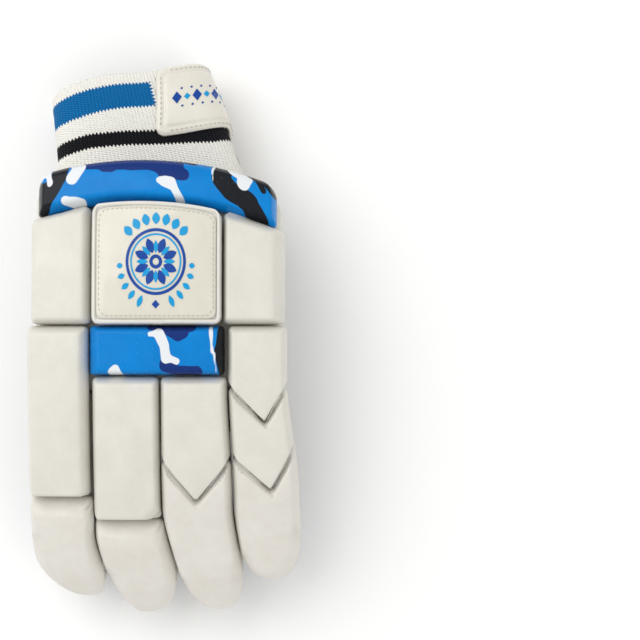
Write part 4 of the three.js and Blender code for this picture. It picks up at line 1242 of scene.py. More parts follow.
def add_backings():
    layer = {
        "base": CAVITY,
        "thickness": BACKING,
        "sides": (BACKING_SHOULDER, BACKING_SHOULDER),
        "ends": (BACKING_SHOULDER, BACKING_SHOULDER),
        "crown": 0,
        "roundness": 0.2,
    }
    backing = leather("backing_leather")
    left = INDEX.left + BAND_INSET - BACKING_INSET
    right = LITTLE.right - BAND_INSET + BACKING_INSET
    start = level(-BACK_WEB + LAYER_GAP)
    slab = layer | {"corners": (BAND_CORNER, BAND_CORNER)}
    add_pad("hand_backing", *backing, (left, right), start, plus(band_top, -BACKING_SHOULDER), shape=slab)
    for finger in FINGERS:
        sides = (finger.left + PAD_CLEARANCE, finger.right - PAD_CLEARANCE)
        tip = fingertip(*sides, finger.far, finger.reach + WELT, finger.rounds)
        add_pad(finger.name + "_backing", *backing, sides, tip, level(-BACK_WEB), shape=layer)


# Stitches and prints on the back
STITCH_LIFT = 0.05
V_STITCH_INSET = 1.9
V_STITCH_START = 2.5
PLATE_STITCH_INSET = 1.5
PLATE_CORNER = 3


def on_pad(name, x, s, lift=STITCH_LIFT):
    return np.stack([x, s, height_on(surfaces[name], x, s) + lift], axis=1)


def add_back_stitches():
    """Rows beside the chevron seams"""
    rows = []
    for name, finger, point, line in (
        ("ring_tip_pad", RING, RING.middle, RING_END),
        ("little_tip_pad", LITTLE, LITTLE_POINT, LITTLE_LOWER_END),
        ("little_lower_roll", LITTLE, LITTLE_POINT, LITTLE_UPPER_END),
    ):
        for edge in (finger.left + V_STITCH_START, finger.right - V_STITCH_START):
            x = np.linspace(edge, point, 50)
            rows.append(stitch_row(on_pad(name, x, line(x) - V_SEAM - V_STITCH_INSET, 0.1), *FINE_STITCH))
    add_piece("back_stitches", joined(rows), PALE_THREAD, "roll_leather")


def add_badge_stitches():
    inner = PLATE_INSET + PLATE_STITCH_INSET
    left = MIDDLE.left + PAD_CLEARANCE / 2 + inner
    right = RING.right - BADGE_INSET - PAD_CLEARANCE / 2 - inner
    bottom = KNUCKLE_TO_BADGE + PAD_CLEARANCE / 2 + inner
    x = np.linspace(left + PLATE_CORNER, right - PLATE_CORNER, 60)
    top = row_top(x) - PAD_CLEARANCE / 2 - inner
    share = np.linspace(0, 1, 40)
    right_side = lerp(bottom + PLATE_CORNER, top[-1] - PLATE_CORNER, share)
    left_side = lerp(bottom + PLATE_CORNER, top[0] - PLATE_CORNER, share)
    loop_x = np.concatenate([x, np.full(share.size, right), x[::-1], np.full(share.size, left), x[:1]])
    loop_s = np.concatenate([np.full(x.size, bottom), right_side, top[::-1], left_side[::-1], [bottom]])
    body = stitch_row(on_pad("badge_plate", loop_x, loop_s), *PLATE_STITCH)
    add_piece("badge_stitches", body, PALE_THREAD, "badge_sheet")


def disc(x, s, radius, count, squash=1.0):
    angle = np.linspace(0, 2 * np.pi, count, endpoint=False)
    return np.stack([x + radius * np.cos(angle), s + radius * squash * np.sin(angle)], axis=1)


PETAL_POINTS = 14


def petal(x, s, turn, inner, outer, width):
    """A pointed leaf that starts at one distance from a centre and ends at another"""
    share = np.linspace(0, 1, PETAL_POINTS)
    along = lerp(inner, outer, share)
    half = width / 2 * np.sin(np.pi * share) ** 0.8
    side = np.concatenate([half, -half[::-1][1:-1]])
    out = np.concatenate([along, along[::-1][1:-1]])
    across = x + out * math.cos(turn) - side * math.sin(turn)
    return np.stack([across, s + out * math.sin(turn) + side * math.cos(turn)], axis=1)


PRINT_THICKNESS = 0.35
PRINT_CELL = 2.5
PRINT_SINK = 0.1
BADGE_MOTIF = 24
STRAP_MOTIF = 16
INKS = (("navy", NAVY_PRINT), ("cyan", CYAN_PRINT))


def motif(x, s, size):
    """A generic rosette in two rings: outlines with holes for the navy and the cyan ink"""
    navy = [
        (disc(x, s, 0.66 * size, 60), [disc(x, s, 0.60 * size, 60)]),
        (disc(x, s, 0.14 * size, 30), [disc(x, s, 0.07 * size, 20)]),
    ]
    cyan = [(disc(x, s, 0.56 * size, 60), [disc(x, s, 0.525 * size, 60)])]
    for i in range(8):
        navy.append((petal(x, s, i * math.pi / 4 + math.pi / 8, 0.18 * size, 0.49 * size, 0.17 * size), []))
        cyan.append((petal(x, s, i * math.pi / 4, 0.17 * size, 0.42 * size, 0.1 * size), []))
    for i in range(7):
        turn = math.radians(90 + 15 * (i - 3))
        cyan.append((petal(x, s, turn, 0.74 * size, 0.98 * size, 0.17 * size), []))
    for i in range(5):
        for side in (-1, 1):
            turn = math.radians(-90 + side * (24 + 15 * i))
            cyan.append((petal(x, s, turn, 0.73 * size, (0.98 - 0.03 * i) * size, 0.11 * size), []))
    navy.append((disc(x, s - 0.84 * size, 0.085 * size, 4), []))
    return {"navy": navy, "cyan": cyan}


def flat_prints(shapes):
    """Prints of the given outlines and holes, as one body"""
    return joined([cut_sheet(*shape, 0, PRINT_THICKNESS, cell=PRINT_CELL) for shape in shapes])


def add_badge_motif():
    x = (MIDDLE.left + RING.right - BADGE_INSET) / 2
    s = KNUCKLE_TO_BADGE + BADGE_LENGTH / 2
    for ink, material in INKS:
        points, faces = flat_prints(motif(x, s, BADGE_MOTIF)[ink])
        points[:, 2] += height_on(surfaces["badge_plate"], points[:, 0], points[:, 1]) - PRINT_SINK
        add_piece("badge_motif_" + ink, (points, faces), material, "badge_sheet", smooth=False)


# The knitted sides of the fingers and the hand
def shell_edge(side, s):
    """The knitted side's place across the hand, from the finger to the wrist seam"""
    finger = INDEX if side < 0 else LITTLE
    start = finger.middle + side * STALL_HALF_WIDTH
    return lerp(start, side * HEEL_HALF_WIDTH, smoothstep(s, -WEB, WRIST_SEAM))


def arc(x, s, across, along, angles):
    """Points with their outward directions. Angle 0 is the index side, 90 the fingertips."""
    out = np.stack([-np.cos(np.radians(angles)), -np.sin(np.radians(angles))], axis=1)
    return np.hstack([out * (across, along) + (x, s), out])


def side_path(finger):
    tip = -finger.reach + STALL_SHORTER + STALL_HALF_WIDTH

    def leg(side):
        x = finger.middle + side * STALL_HALF_WIDTH
        if finger is (INDEX if side < 0 else LITTLE):
            s = np.linspace(WRIST_SEAM - LAYER_GAP, -WEB, 120)
            return np.stack([shell_edge(side, s), s, np.full(120, float(side)), np.zeros(120)], axis=1)
        border = (finger.left if side < 0 else finger.right) - side * PAD_CLEARANCE / 2
        turn = np.radians(np.linspace(0, 90, 16))
        width = abs(border - x)
        x = border - side * width * np.sin(turn)
        return np.stack([x, -WEB - width * (1 - np.cos(turn)), side * np.sin(turn), -np.cos(turn)], axis=1)

    half_turn = arc(finger.middle, tip, STALL_HALF_WIDTH, STALL_HALF_WIDTH, np.linspace(0, 180, 40))
    return np.concatenate([leg(-1), half_turn, leg(1)[::-1]])


WALL_STEP = 1.0


def wall_along(path, low, high, thickness, flare=0.0, bulge=0.0, wrap=False):
    """A wall that stands on a path of places with their outward directions"""
    even, places = spread_evenly(path, WALL_STEP)
    if wrap:
        even = even[:-1]
        places = places[:-1]
    share = np.linspace(0, 1, int((high - low) / WALL_STEP) + 2)[None, :]

    def layer(inset):
        out = flare * share + bulge * np.sin(np.pi * share) - inset
        x = even[:, :1] + even[:, 2:3] * out
        s = even[:, 1:2] + even[:, 3:4] * out
        return np.stack([x, s, lerp(low, high, share) + 0 * x], axis=-1)

    run = np.repeat(places, share.size)
    return body_between(layer(0), layer(thickness), wrap=wrap), np.concatenate([run, run])


def add_gussets():
    levels = (-CAVITY + LAYER_GAP, CAVITY - LAYER_GAP)
    for finger in FINGERS:
        body, run = wall_along(side_path(finger), *levels, KNIT, STALL_FLARE, STALL_BULGE)
        node = finger.name + "_gusset"
        add_piece(node + "_look", body, GUSSET_LOOK, "gusset_knit", [node], attributes={"run": run})


# Cut leather of the palm
def inside_of(loop, x, s):
    result = np.zeros(np.shape(x), bool)
    for (x0, s0), (x1, s1) in zip(loop, np.roll(loop, -1, axis=0)):
        if s0 == s1:
            continue
        crosses = (s0 > s) != (s1 > s)
        result ^= crosses & (x < x0 + (s - s0) * (x1 - x0) / (s1 - s0))
    return result


SHEET_CELL = 1.6
NEAREST_TO_EDGE = 0.55


def cut_sheet(outline, holes, bottom, thickness, relief=None, cell=SHEET_CELL):
    """Leather cut to an outline, as two layers of small triangles and the edges between them"""
    loops = [np.asarray(loop, float) for loop in (outline, *holes)]
    low = loops[0].min(0)
    high = loops[0].max(0)
    rows = np.arange(low[1], high[1], cell * math.sqrt(3) / 2)
    grid = [(x + (i % 2) * cell / 2, s) for i, s in enumerate(rows) for x in np.arange(low[0], high[0], cell)]
    x, s = np.array(grid).T
    keep = inside_of(loops[0], x, s)
    for loop in loops[1:]:
        keep &= ~inside_of(loop, x, s)
    for loop in loops:
        ring = np.vstack([loop, loop[:1]])
        keep &= distance_to_line(x, s, ring[:, 0], ring[:, 1]) > NEAREST_TO_EDGE * cell
    flat = [Vector(point) for loop in loops for point in loop.tolist()]
    edges = []
    start = 0
    for loop in loops:
        count = len(loop)
        edges += [(start + i, start + (i + 1) % count) for i in range(count)]
        start += count
    flat += [Vector(point) for point in np.stack([x[keep], s[keep]], axis=1).tolist()]
    vertices, _, triangles, _, _, _ = delaunay_2d_cdt(flat, edges, [], 0, 1e-4)
    flat = np.array([tuple(v) for v in vertices])
    triangles = np.array([tuple(t) for t in triangles if len(t) == 3])
    centre = flat[triangles].mean(axis=1)
    keep = inside_of(loops[0], *centre.T)
    for loop in loops[1:]:
        keep &= ~inside_of(loop, *centre.T)
    triangles = triangles[keep]
    used, triangles = np.unique(triangles, return_inverse=True)
    triangles = triangles.reshape(-1, 3)
    flat = flat[used]
    count = len(flat)
    lift = relief(*flat.T) if relief else np.zeros(count)
    top = np.column_stack([flat, bottom + thickness + lift])
    under = np.column_stack([flat, bottom + lift])
    sides = {}
    for a, b, c in triangles.tolist():
        for edge in ((a, b), (b, c), (c, a)):
            if edge[::-1] in sides:
                del sides[edge[::-1]]
            else:
                sides[edge] = True
    faces = [list(t) for t in triangles.tolist()]
    faces += [[c + count, b + count, a + count] for a, b, c in triangles.tolist()]
    faces += [[b, a, a + count, b + count] for a, b in sides]
    return np.concatenate([top, under]), faces


def thumb_x(s):
    return lerp(THUMB_ROOT_X, THUMB_TIP_X, (s - THUMB_BASE) / (-THUMB_REACH - THUMB_BASE))


THUMB_HOLE_AT = lerp(THUMB_BASE, -THUMB_REACH, THUMB_HOLE_SHARE)


def thumb_hole(clearance):
    turn = np.linspace(0, 2 * np.pi, 60, endpoint=False)
    x = thumb_x(THUMB_HOLE_AT) + (THUMB_HOLE_HALF_WIDTH + clearance) * np.cos(turn)
    return np.stack([x, THUMB_HOLE_AT + (THUMB_HOLE_HALF_LENGTH + clearance) * np.sin(turn)], axis=1)


def hand_edge(spread):
    """The palm leather's edge, from the wrist seam on the index side round the fingers and back"""
    half = STALL_HALF_WIDTH + spread
    s = np.linspace(WRIST_SEAM, -WEB, 80)
    parts = [np.stack([shell_edge(-1, s) - spread, s], axis=1)]
    for i, finger in enumerate(FINGERS):
        tip = -finger.reach + STALL_SHORTER + STALL_HALF_WIDTH
        parts.append(arc(finger.middle, tip, half, half, np.linspace(0, 180, 36))[:, :2])
        if finger is not LITTLE:
            next_left = FINGERS[i + 1].middle - half
            radius = (next_left - finger.middle - half) / 2
            turn = np.linspace(0, np.pi, 16)
            web_x = next_left - radius - radius * np.cos(turn)
            parts.append(np.stack([web_x, -WEB - radius + radius * np.sin(turn)], axis=1))
    parts.append(np.stack([shell_edge(1, s[::-1]) + spread, s[::-1]], axis=1))
    return np.concatenate(parts)


def palm_outline():
    turn = np.linspace(0, np.pi, 16)
    vent_round = WRIST_SEAM - VENT_LENGTH + VENT_HALF_WIDTH
    vent_x = VENT_X + VENT_HALF_WIDTH * np.cos(turn)
    vent = np.stack([vent_x, vent_round - VENT_HALF_WIDTH * np.sin(turn)], axis=1)
    return np.concatenate(
        [
            hand_edge(SEAM_EDGE),
            [(VENT_X + VENT_HALF_WIDTH, WRIST_SEAM)],
            vent,
            [(VENT_X - VENT_HALF_WIDTH, WRIST_SEAM)],
        ]
    )


def tip_patch_outline(finger, inset=0.0):
    half = STALL_HALF_WIDTH - SEAM_EDGE / 2
    tip = -finger.reach + STALL_SHORTER + SEAM_EDGE + half
    radius = half - inset
    near = arc(finger.middle, tip, radius, radius, np.linspace(0, 180, 30))[:, :2]
    far = arc(finger.middle, tip + half, radius, radius, np.linspace(180, 360, 30))[:, :2]
    return np.concatenate([near, far])


def palm_patch_outline():
    outer = VENT_X - VENT_HALF_WIDTH - BINDING_WIDTH - PATCH_CLEARANCE
    start = WRIST_SEAM - PATCH_LENGTH
    end = WRIST_SEAM - SEAM_EDGE
    margin = THUMB_HALF_WIDTH + SEAM_EDGE + PATCH_CLEARANCE
    return [
        (thumb_x(end) + margin, end),
        (thumb_x(start) + margin, start),
        (outer, start - PATCH_SLANT),
        (outer, end),
    ]


def dense_loop(corners, step):
    """A closed outline of straight sides, with points a step apart"""
    points = []
    for a, b in zip(corners, corners[1:] + corners[:1]):
        count = max(1, int(math.dist(a, b) / step))
        points += [(lerp(a[0], b[0], i / count), lerp(a[1], b[1], i / count)) for i in range(count)]
    return points


def palm_wrinkles(x, s):
    """Soft folds of the palm leather, most of them across the fingers"""
    folds = 1 - np.abs(rough(x * 0.45, s, 7, 21))
    fine = 1 - np.abs(rough(x, s * 0.6, 5, 33))
    return 0.2 * folds**3 + 0.12 * fine**4 - 0.16


def add_palm():
    palm = leather("palm_leather")
    body = cut_sheet(palm_outline(), [thumb_hole(0)], PALM_FACE, PALM_LEATHER, palm_wrinkles)
    add_piece("palm_leather_look", body, *palm, ["palm_leather"])
    body = cut_sheet(dense_loop(palm_patch_outline(), SHEET_CELL), [], PATCH_FACE, PATCH_LEATHER)
    add_piece("palm_patch_look", body, *palm, ["palm_patch"])
    for finger in FINGERS:
        body = cut_sheet(tip_patch_outline(finger), [], PATCH_FACE, PATCH_LEATHER)
        add_piece(finger.name + "_tip_patch_look", body, *palm, [finger.name + "_tip_patch"])


PIPING = 1.1
PIPING_STEP = 1.2
TIP_STITCH_INSET = 1.8
# Rows of stitches on the palm patch, as insets from its edge
PATCH_ROWS = (2.2, 9.5, 16.5)
ROW_SHORTER = 2
# Vents: their places on the palm, and on each finger as shares of the way from its tip to the web
PALM_VENTS = ((44, 30), (47, 8), (40, -12), (30, 8), (22, -14))
FINGER_VENTS = (0.32, 0.62)
VENT_SIDE = 1.5
VENT_RADIUS = 0.85
# The fingers are patched beyond this place. A vent's eye, a dark disc that paints the shade inside the hole,
# stands out of a patch and out of the palm leather.
PATCHED_TO = -70
EYE_THICKNESS = 0.3
EYE_SHOWS = (0.25, 0.3)
# The zigzag cord along the wrist seam: its turns, and how far it reaches to both sides of the seam
ZIGZAGS = 44
ZIGZAG_REACH = (-2.2, 0.6)
ZIGZAG_RADIUS = 0.3
ZIGZAG_LIFT = 0.25
ZIGZAG_MARGINS = (2, 1)


def add_palm_piping():
    edge = at_level(hand_edge(SEAM_EDGE), PALM_FACE + PALM_LEATHER / 2)
    add_piece("palm_piping", tube(spread_evenly(edge, PIPING_STEP)[0], PIPING), *leather("palm_leather"))


def add_palm_stitches():
    under = PATCH_FACE - STITCH_LIFT
    rows = []
    for finger in FINGERS:
        oval = at_level(tip_patch_outline(finger, TIP_STITCH_INSET), under)
        rows.append(stitch_row(np.vstack([oval, oval[:1]]), *PATCH_STITCH))
    inner_top, inner_low, outer_low = palm_patch_outline()[:3]
    for inset in PATCH_ROWS:
        start = (outer_low[0] - ROW_SHORTER, outer_low[1] + inset)
        turn_at = (inner_low[0] + inset, inner_low[1] + inset)
        end = (inner_top[0] + inset, inner_top[1] - ROW_SHORTER)
        path = at_level([start, turn_at, end], under)
        rows.append(stitch_row(spread_evenly(path, 1.0)[0], *PALM_STITCH))
    add_piece("palm_stitches", joined(rows), GREY_THREAD, "palm_leather")


def add_palm_vents():
    holes = []
    for finger in FINGERS:
        for place in FINGER_VENTS:
            holes.append((finger.middle + VENT_SIDE, lerp(-finger.reach + STALL_SHORTER, -WEB, place)))
    # Painted shade: each vent is a dark disc just outside the leather, with no hole cut
    eyes = []
    for x, s in (*holes, *PALM_VENTS):
        h = PATCH_FACE - EYE_SHOWS[0] if s < PATCHED_TO else PALM_FACE - EYE_SHOWS[1]
        eyes.append(cut_sheet(disc(x, s, VENT_RADIUS, 12), [], h, EYE_THICKNESS, cell=3))
    add_piece("palm_vents", joined(eyes), VENT_HOLE_SHADE, "palm_leather")


def add_wrist_zigzag():
    s = WRIST_SEAM + np.where(np.arange(ZIGZAGS) % 2, *ZIGZAG_REACH)
    binding = VENT_X - VENT_HALF_WIDTH - BINDING_WIDTH
    x = np.linspace(-HEEL_HALF_WIDTH + ZIGZAG_MARGINS[0], binding - ZIGZAG_MARGINS[1], ZIGZAGS)
    path = at_level(np.stack([x, s], axis=1), PALM_FACE - ZIGZAG_LIFT)
    body = tube(spread_evenly(path, 0.7)[0], ZIGZAG_RADIUS, 6)
    add_piece("wrist_zigzag", body, WHITE_THREAD, "palm_leather")


BINDING_STITCH_OUT = 2.6
BINDING_STITCH_DROP = 2.5
PUCKER = 0.35
PUCKER_PITCH = 4.6


def add_vent_binding():
    across = VENT_HALF_WIDTH + BINDING_WIDTH / 2
    turn_at = WRIST_SEAM - VENT_LENGTH + VENT_HALF_WIDTH
    s = np.linspace(WRIST_SEAM + BINDING_END, turn_at, 40)[:-1]
    leg = np.stack([np.full(s.size, VENT_X - across), s, np.full(s.size, -1.0), np.zeros(s.size)], axis=1)
    other = leg[::-1] * (-1, 1, -1, 1) + (2 * VENT_X, 0, 0, 0)
    half_turn = arc(VENT_X, turn_at, across, across, np.linspace(0, 180, 40))
    path, run = spread_evenly(np.concatenate([leg, half_turn, other]), 0.6)
    turn = np.linspace(0.04, np.pi - 0.04, 16)
    pucker = PUCKER * np.sin(run * 2 * np.pi / PUCKER_PITCH + 1.5 * rough(run, run * 0, 9, 5))[:, None]
    off = BINDING_WIDTH / 2 * np.cos(turn)[None, :]
    drop = (BINDING_THICKNESS + pucker * np.clip(-off / 3, -0.3, 1)) * np.sin(turn)[None, :] ** 0.5
    off = off + 0.4 * pucker * (off < 0)
    face_x = path[:, :1] + path[:, 2:3] * off
    face_s = path[:, 1:2] + path[:, 3:4] * off
    face = np.stack([face_x, face_s, PATCH_TOP - drop], axis=-1)
    flat = face.copy()
    flat[..., 2] = PATCH_TOP
    add_piece("vent_binding_look", body_between(face, flat), *leather("binding_leather"), ["vent_binding"])
    row = at_level(path[:, :2] + path[:, 2:] * BINDING_STITCH_OUT, PATCH_TOP - BINDING_STITCH_DROP)
    add_piece("binding_stitches", stitch_row(row, *BINDING_STITCH), PALE_THREAD, "binding_leather")


# The cuff and the strap
def cuff_point(angle, s, off):
    """A place at an angle round the cuff, some millimetres outside its face"""
    run = np.clip((s - WRIST_SEAM) / CUFF_LENGTH, 0, 1)
    opened = smoothstep(s, BAND_END, lerp(BAND_END, CUFF_RIM, CUFF_OPENS))
    top = lerp(CAVITY - LAYER_GAP, CUFF_RIM_HALF_DEPTH, opened)
    bottom = lerp(PALM_FACE, -CUFF_RIM_HALF_DEPTH, opened)
    full_cos = np.sign(np.cos(angle)) * np.abs(np.cos(angle)) ** CUFF_SQUARENESS
    full_sin = np.sign(np.sin(angle)) * np.abs(np.sin(angle)) ** CUFF_SQUARENESS
    half_width = lerp(CUFF_HALF_WIDTH, CUFF_RIM_HALF_WIDTH, run) + off
    x = lerp(CUFF_SHIFT, CUFF_RIM_SHIFT, run) + half_width * full_cos
    h = (top + bottom) / 2 + ((top - bottom) / 2 + off) * full_sin
    return np.stack([x, s + 0 * angle, h], axis=-1)


def cuff_rim_at(angle):
    return CUFF_RIM - CUFF_RIM_SLANT / 2 * (1 - np.cos(angle))


CUFF_ANGLES = 330
CUFF_ROWS = 70
HEM_DEPTH = 0.9
HEM_WIDTH = 1.2
# Waves of the cuff: how the noise is stretched round it, its size, its seed and its height
CUFF_WAVES = ((0.6, 9, 2, 0.35), (0.3, 3.5, 6, 0.25))
WAVES_START = 8


def angle_table():
    """Angles round the cuff and how far round it they lie, in millimetres"""
    fine = np.linspace(-2 * np.pi, 2 * np.pi, 8001)
    ring = cuff_point(fine, WRIST_SEAM + CUFF_LENGTH * 0.7, 0)
    steps = np.hypot(np.diff(ring[:, 0]), np.diff(ring[:, 2]))
    return fine, np.concatenate([[0], np.cumsum(steps)])


ANGLES, ARCS = angle_table()


def arc_at(angle):
    return np.interp(angle, ANGLES, ARCS)


def angle_at(length):
    return np.interp(length, ARCS, ANGLES)


def add_cuff():
    start = arc_at(0)
    around = np.linspace(start, arc_at(2 * np.pi), CUFF_ANGLES, endpoint=False)[:, None]
    angle = angle_at(around)
    share = np.linspace(0, 1, CUFF_ROWS)[None, :]
    s = lerp(WRIST_SEAM + LAYER_GAP, cuff_rim_at(angle), share)
    from_rim = cuff_rim_at(angle) - s
    hem = -HEM_DEPTH * np.exp(-((from_rim / HEM_WIDTH) ** 2))
    waves = 0
    for stretch, size, seed, height in CUFF_WAVES:
        waves = waves + height * rough(around * stretch + 0 * s, s, size, seed)
    calm = smoothstep(s, WRIST_SEAM, WRIST_SEAM + WAVES_START) * (1 - held_by_strap(angle, from_rim))
    outer = cuff_point(angle + 0 * share, s, hem + waves * calm)
    inner = cuff_point(angle + 0 * share, s, -CUFF_WALL + hem * -0.8 + waves * calm)
    attributes = {
        "from_rim": np.tile(from_rim.ravel(), 2),
        "around": np.tile((around - start + 0 * share).ravel(), 2),
        "turn": np.tile(np.degrees(angle + 0 * share).ravel(), 2),
    }
    body = body_between(outer, inner, wrap=True)
    add_piece("cuff_look", body, CUFF_LOOK, "cuff_knit", ["cuff"], attributes=attributes)


# How far beyond the strap it still holds the cuff flat, in degrees round the cuff and in millimetres along it
HELD_DEGREES = 4
HELD_LENGTH = 2


def held_by_strap(angle, from_rim):
    """1 where the strap holds the cuff flat, 0 elsewhere"""
    turn = np.degrees(np.where(angle > np.pi, angle - 2 * np.pi, angle))
    held = (turn > STRAP_END - HELD_DEGREES) & (turn < STRAP_START[0] + HELD_DEGREES)
    return np.where(held & (from_rim < STRAP_PALM_WIDTH + HELD_LENGTH), 1.0, 0.0)


STRAP_ROWS = 330
STRAP_COLUMNS = 60
STRAP_CROWDING = (0.4, 0.5)
STRAP_ROUND = 6
STRAP_STITCH_INSET = 2.0
STRAP_STITCH_LIFT = 0.15
# The strap's sides are stitched near both of its ends, between these distances from the end
STRAP_STITCHED = (7, 62)
STRAP_BORDER = 4.6
STRAP_PANEL = 0.5
STRAP_EDGE_DROP = 1.0
STRAP_DENT = 0.35
STRAP_RIPPLE = 0.15


def strap_width(turn):
    return lerp(STRAP_WIDTH, STRAP_PALM_WIDTH, smoothstep(-turn, *STRAP_WIDENS))


def strap_width_at(run):
    """The strap's width at a length from its end on the back"""
    middle = np.radians(sum(STRAP_START) / 2)
    return strap_width(np.degrees(angle_at(arc_at(middle) - run)))


def strap_place(run, share, lift=0.0):
    """A point on the strap, by its run from the end on the back and its share from hand edge to rim"""
    start = arc_at(np.radians(lerp(*STRAP_START, share)))
    angle = angle_at(start - run)
    s = cuff_rim_at(angle) - STRAP_MARGIN - strap_width(np.degrees(angle)) * (1 - share)
    return cuff_point(angle, s, LAYER_GAP + STRAP_THICKNESS + lift)


def strap_length():
    return float(arc_at(np.radians(STRAP_START[0])) - arc_at(np.radians(STRAP_END)))


def add_strap():
    length = strap_length()
    run = lerp(0, length, crowded(STRAP_ROWS, STRAP_CROWDING[0]))[:, None]
    share = crowded(STRAP_COLUMNS, STRAP_CROWDING[1])[None, :]
    from_end = np.minimum(run, length - run)
    width = strap_width_at(run)
    trim = STRAP_ROUND * (1 - rise(from_end, STRAP_ROUND)) / width
    narrowed = trim + share * (1 - 2 * trim)
    from_side = np.minimum(share, 1 - share) * width
    edge = soft_min(from_end + 0 * share, from_side, 3.0)
    panel = smoothstep(edge, STRAP_BORDER - 0.5, STRAP_BORDER + 0.5) * STRAP_PANEL
    rounded = -STRAP_EDGE_DROP * np.exp(-((np.minimum(from_end, from_side) / 0.8) ** 2))
    dent = -STRAP_DENT * np.exp(-(((edge - STRAP_BORDER + 1) / 0.7) ** 2))
    ripple = STRAP_RIPPLE * rough(run + 0 * share, share * width, 14, 8)
    lift = panel + rounded + dent + ripple
    outer = strap_place(run, narrowed, lift)
    inner = strap_place(run, narrowed, -STRAP_THICKNESS)
    add_piece("wrist_strap_look", body_between(outer, inner), *leather("strap_sheet"), ["wrist_strap"])


def add_strap_stitches():
    length = strap_length()
    rows = []
    inset = STRAP_STITCH_INSET
    near, far = STRAP_STITCHED
    for start, end in ((near, far), (length - far, length - near)):
        along = np.linspace(start, end, 120)
        here = strap_width_at(along)
        for side in (inset / here, 1 - inset / here):
            rows.append(stitch_row(strap_place(along, side, STRAP_STITCH_LIFT), *STRAP_STITCH))
    share = np.linspace(0.13, 0.87, 40)
    for place in (inset, length - inset):
        rows.append(stitch_row(strap_place(np.full(40, place), share, STRAP_STITCH_LIFT), *STRAP_STITCH))
    add_piece("strap_stitches", joined(rows), PALE_THREAD, "strap_sheet")


def on_strap(points, middle_run, flip=1):
    """Lays flat shapes on the strap, with their middle at a place along it"""
    run = middle_run + points[:, 0]
    share = 0.5 + flip * points[:, 1] / strap_width_at(run)
    return strap_place(run, share, STRAP_PANEL + points[:, 2] - PRINT_SINK / 2)


DIAMONDS = 8
DIAMOND_PITCH = 5.4
# Diamonds of each ink: their size and how long they are along the glove
DIAMOND_SIZES = {"navy": (2.5, 1.25), "cyan": (1.7, 1)}
DOT_RADIUS = 0.55
DOT_PLACE = 4.6
TAB_PRINT_AT = 29
PALM_PRINT_AT = 33


def diamond_row():
    """A row of diamonds in both inks, with navy dots between them"""
    row = {"navy": [], "cyan": []}
    for i in range(DIAMONDS):
        ink = "cyan" if i % 2 else "navy"
        size, squash = DIAMOND_SIZES[ink]
        row[ink].append((disc(DIAMOND_PITCH * (i - (DIAMONDS - 1) / 2), 0, size, 4, squash), []))
    for i in range(DIAMONDS - 1):
        for side in (1, -1):
            x = DIAMOND_PITCH * (i - (DIAMONDS - 2) / 2)
            row["navy"].append((disc(x, side * DOT_PLACE, DOT_RADIUS, 10), []))
    return row


def add_strap_motifs():
    prints = (
        ("tab", diamond_row(), TAB_PRINT_AT, 1),
        ("palm", motif(0, 0, STRAP_MOTIF), strap_length() - PALM_PRINT_AT, -1),
    )
    for ink, material in INKS:
        for name, shapes, middle, flip in prints:
            points, faces = flat_prints(shapes[ink])
            laid = (on_strap(points, middle, flip), faces)
            add_piece("strap_" + name + "_motif_" + ink, laid, material, "strap_sheet", smooth=False)


# The thumb under the palm
def thumb_ring(spread):
    across = THUMB_HALF_WIDTH + spread
    root_round = THUMB_HALF_WIDTH / 2
    tip = -THUMB_REACH + THUMB_HALF_WIDTH
    root = THUMB_BASE - root_round
    s = np.linspace(tip, root, 80)[1:-1]
    zero = np.zeros(s.size)
    right = np.stack([thumb_x(s) + across, s, zero + 1, zero], axis=1)
    left = np.stack([thumb_x(s) - across, s, zero - 1, zero], axis=1)
    return np.concatenate(
        [
            arc(thumb_x(tip), tip, across, across, np.linspace(0, 180, 40)),
            right,
            arc(thumb_x(root), root, across, root_round + spread, np.linspace(180, 360, 40)),
            left[::-1],
        ]
    )


def add_thumb():
    path = thumb_ring(0)
    path = np.vstack([path, path[:1]])
    levels = (THUMB_CAVITY_FLOOR + LAYER_GAP, THUMB_CAVITY_TOP - LAYER_GAP)
    body, run = wall_along(path, *levels, KNIT, bulge=THUMB_BULGE, wrap=True)
    add_piece("thumb_mesh_look", body, MESH_LOOK, "thumb_mesh", ["thumb_mesh"], attributes={"run": run})
    outline = thumb_ring(SEAM_EDGE)[:, :2]
    body = cut_sheet(outline, [thumb_hole(-SEAM_EDGE / 2)], THUMB_CAVITY_TOP, PALM_LEATHER)
    add_piece("thumb_leather_look", body, *leather("palm_leather"), ["thumb_leather"])
    body = cut_sheet(outline, [], THUMB_CAVITY_FLOOR - THUMB_BACKING, THUMB_BACKING)
    add_piece("thumb_backing_look", body, *leather("backing_leather"), ["thumb_backing"])
    ring = np.vstack([outline, outline[:1]])
    parts = []
    for h in (THUMB_CAVITY_TOP + PALM_LEATHER / 2, THUMB_CAVITY_FLOOR - THUMB_BACKING / 2):
        edge = spread_evenly(at_level(ring, h), PIPING_STEP)[0]
        parts.append(tube(edge[:-1], PIPING, closed=True))
    add_piece("thumb_piping", joined(parts), *leather("palm_leather"))


THUMB_TIP_CORNER = 0.5


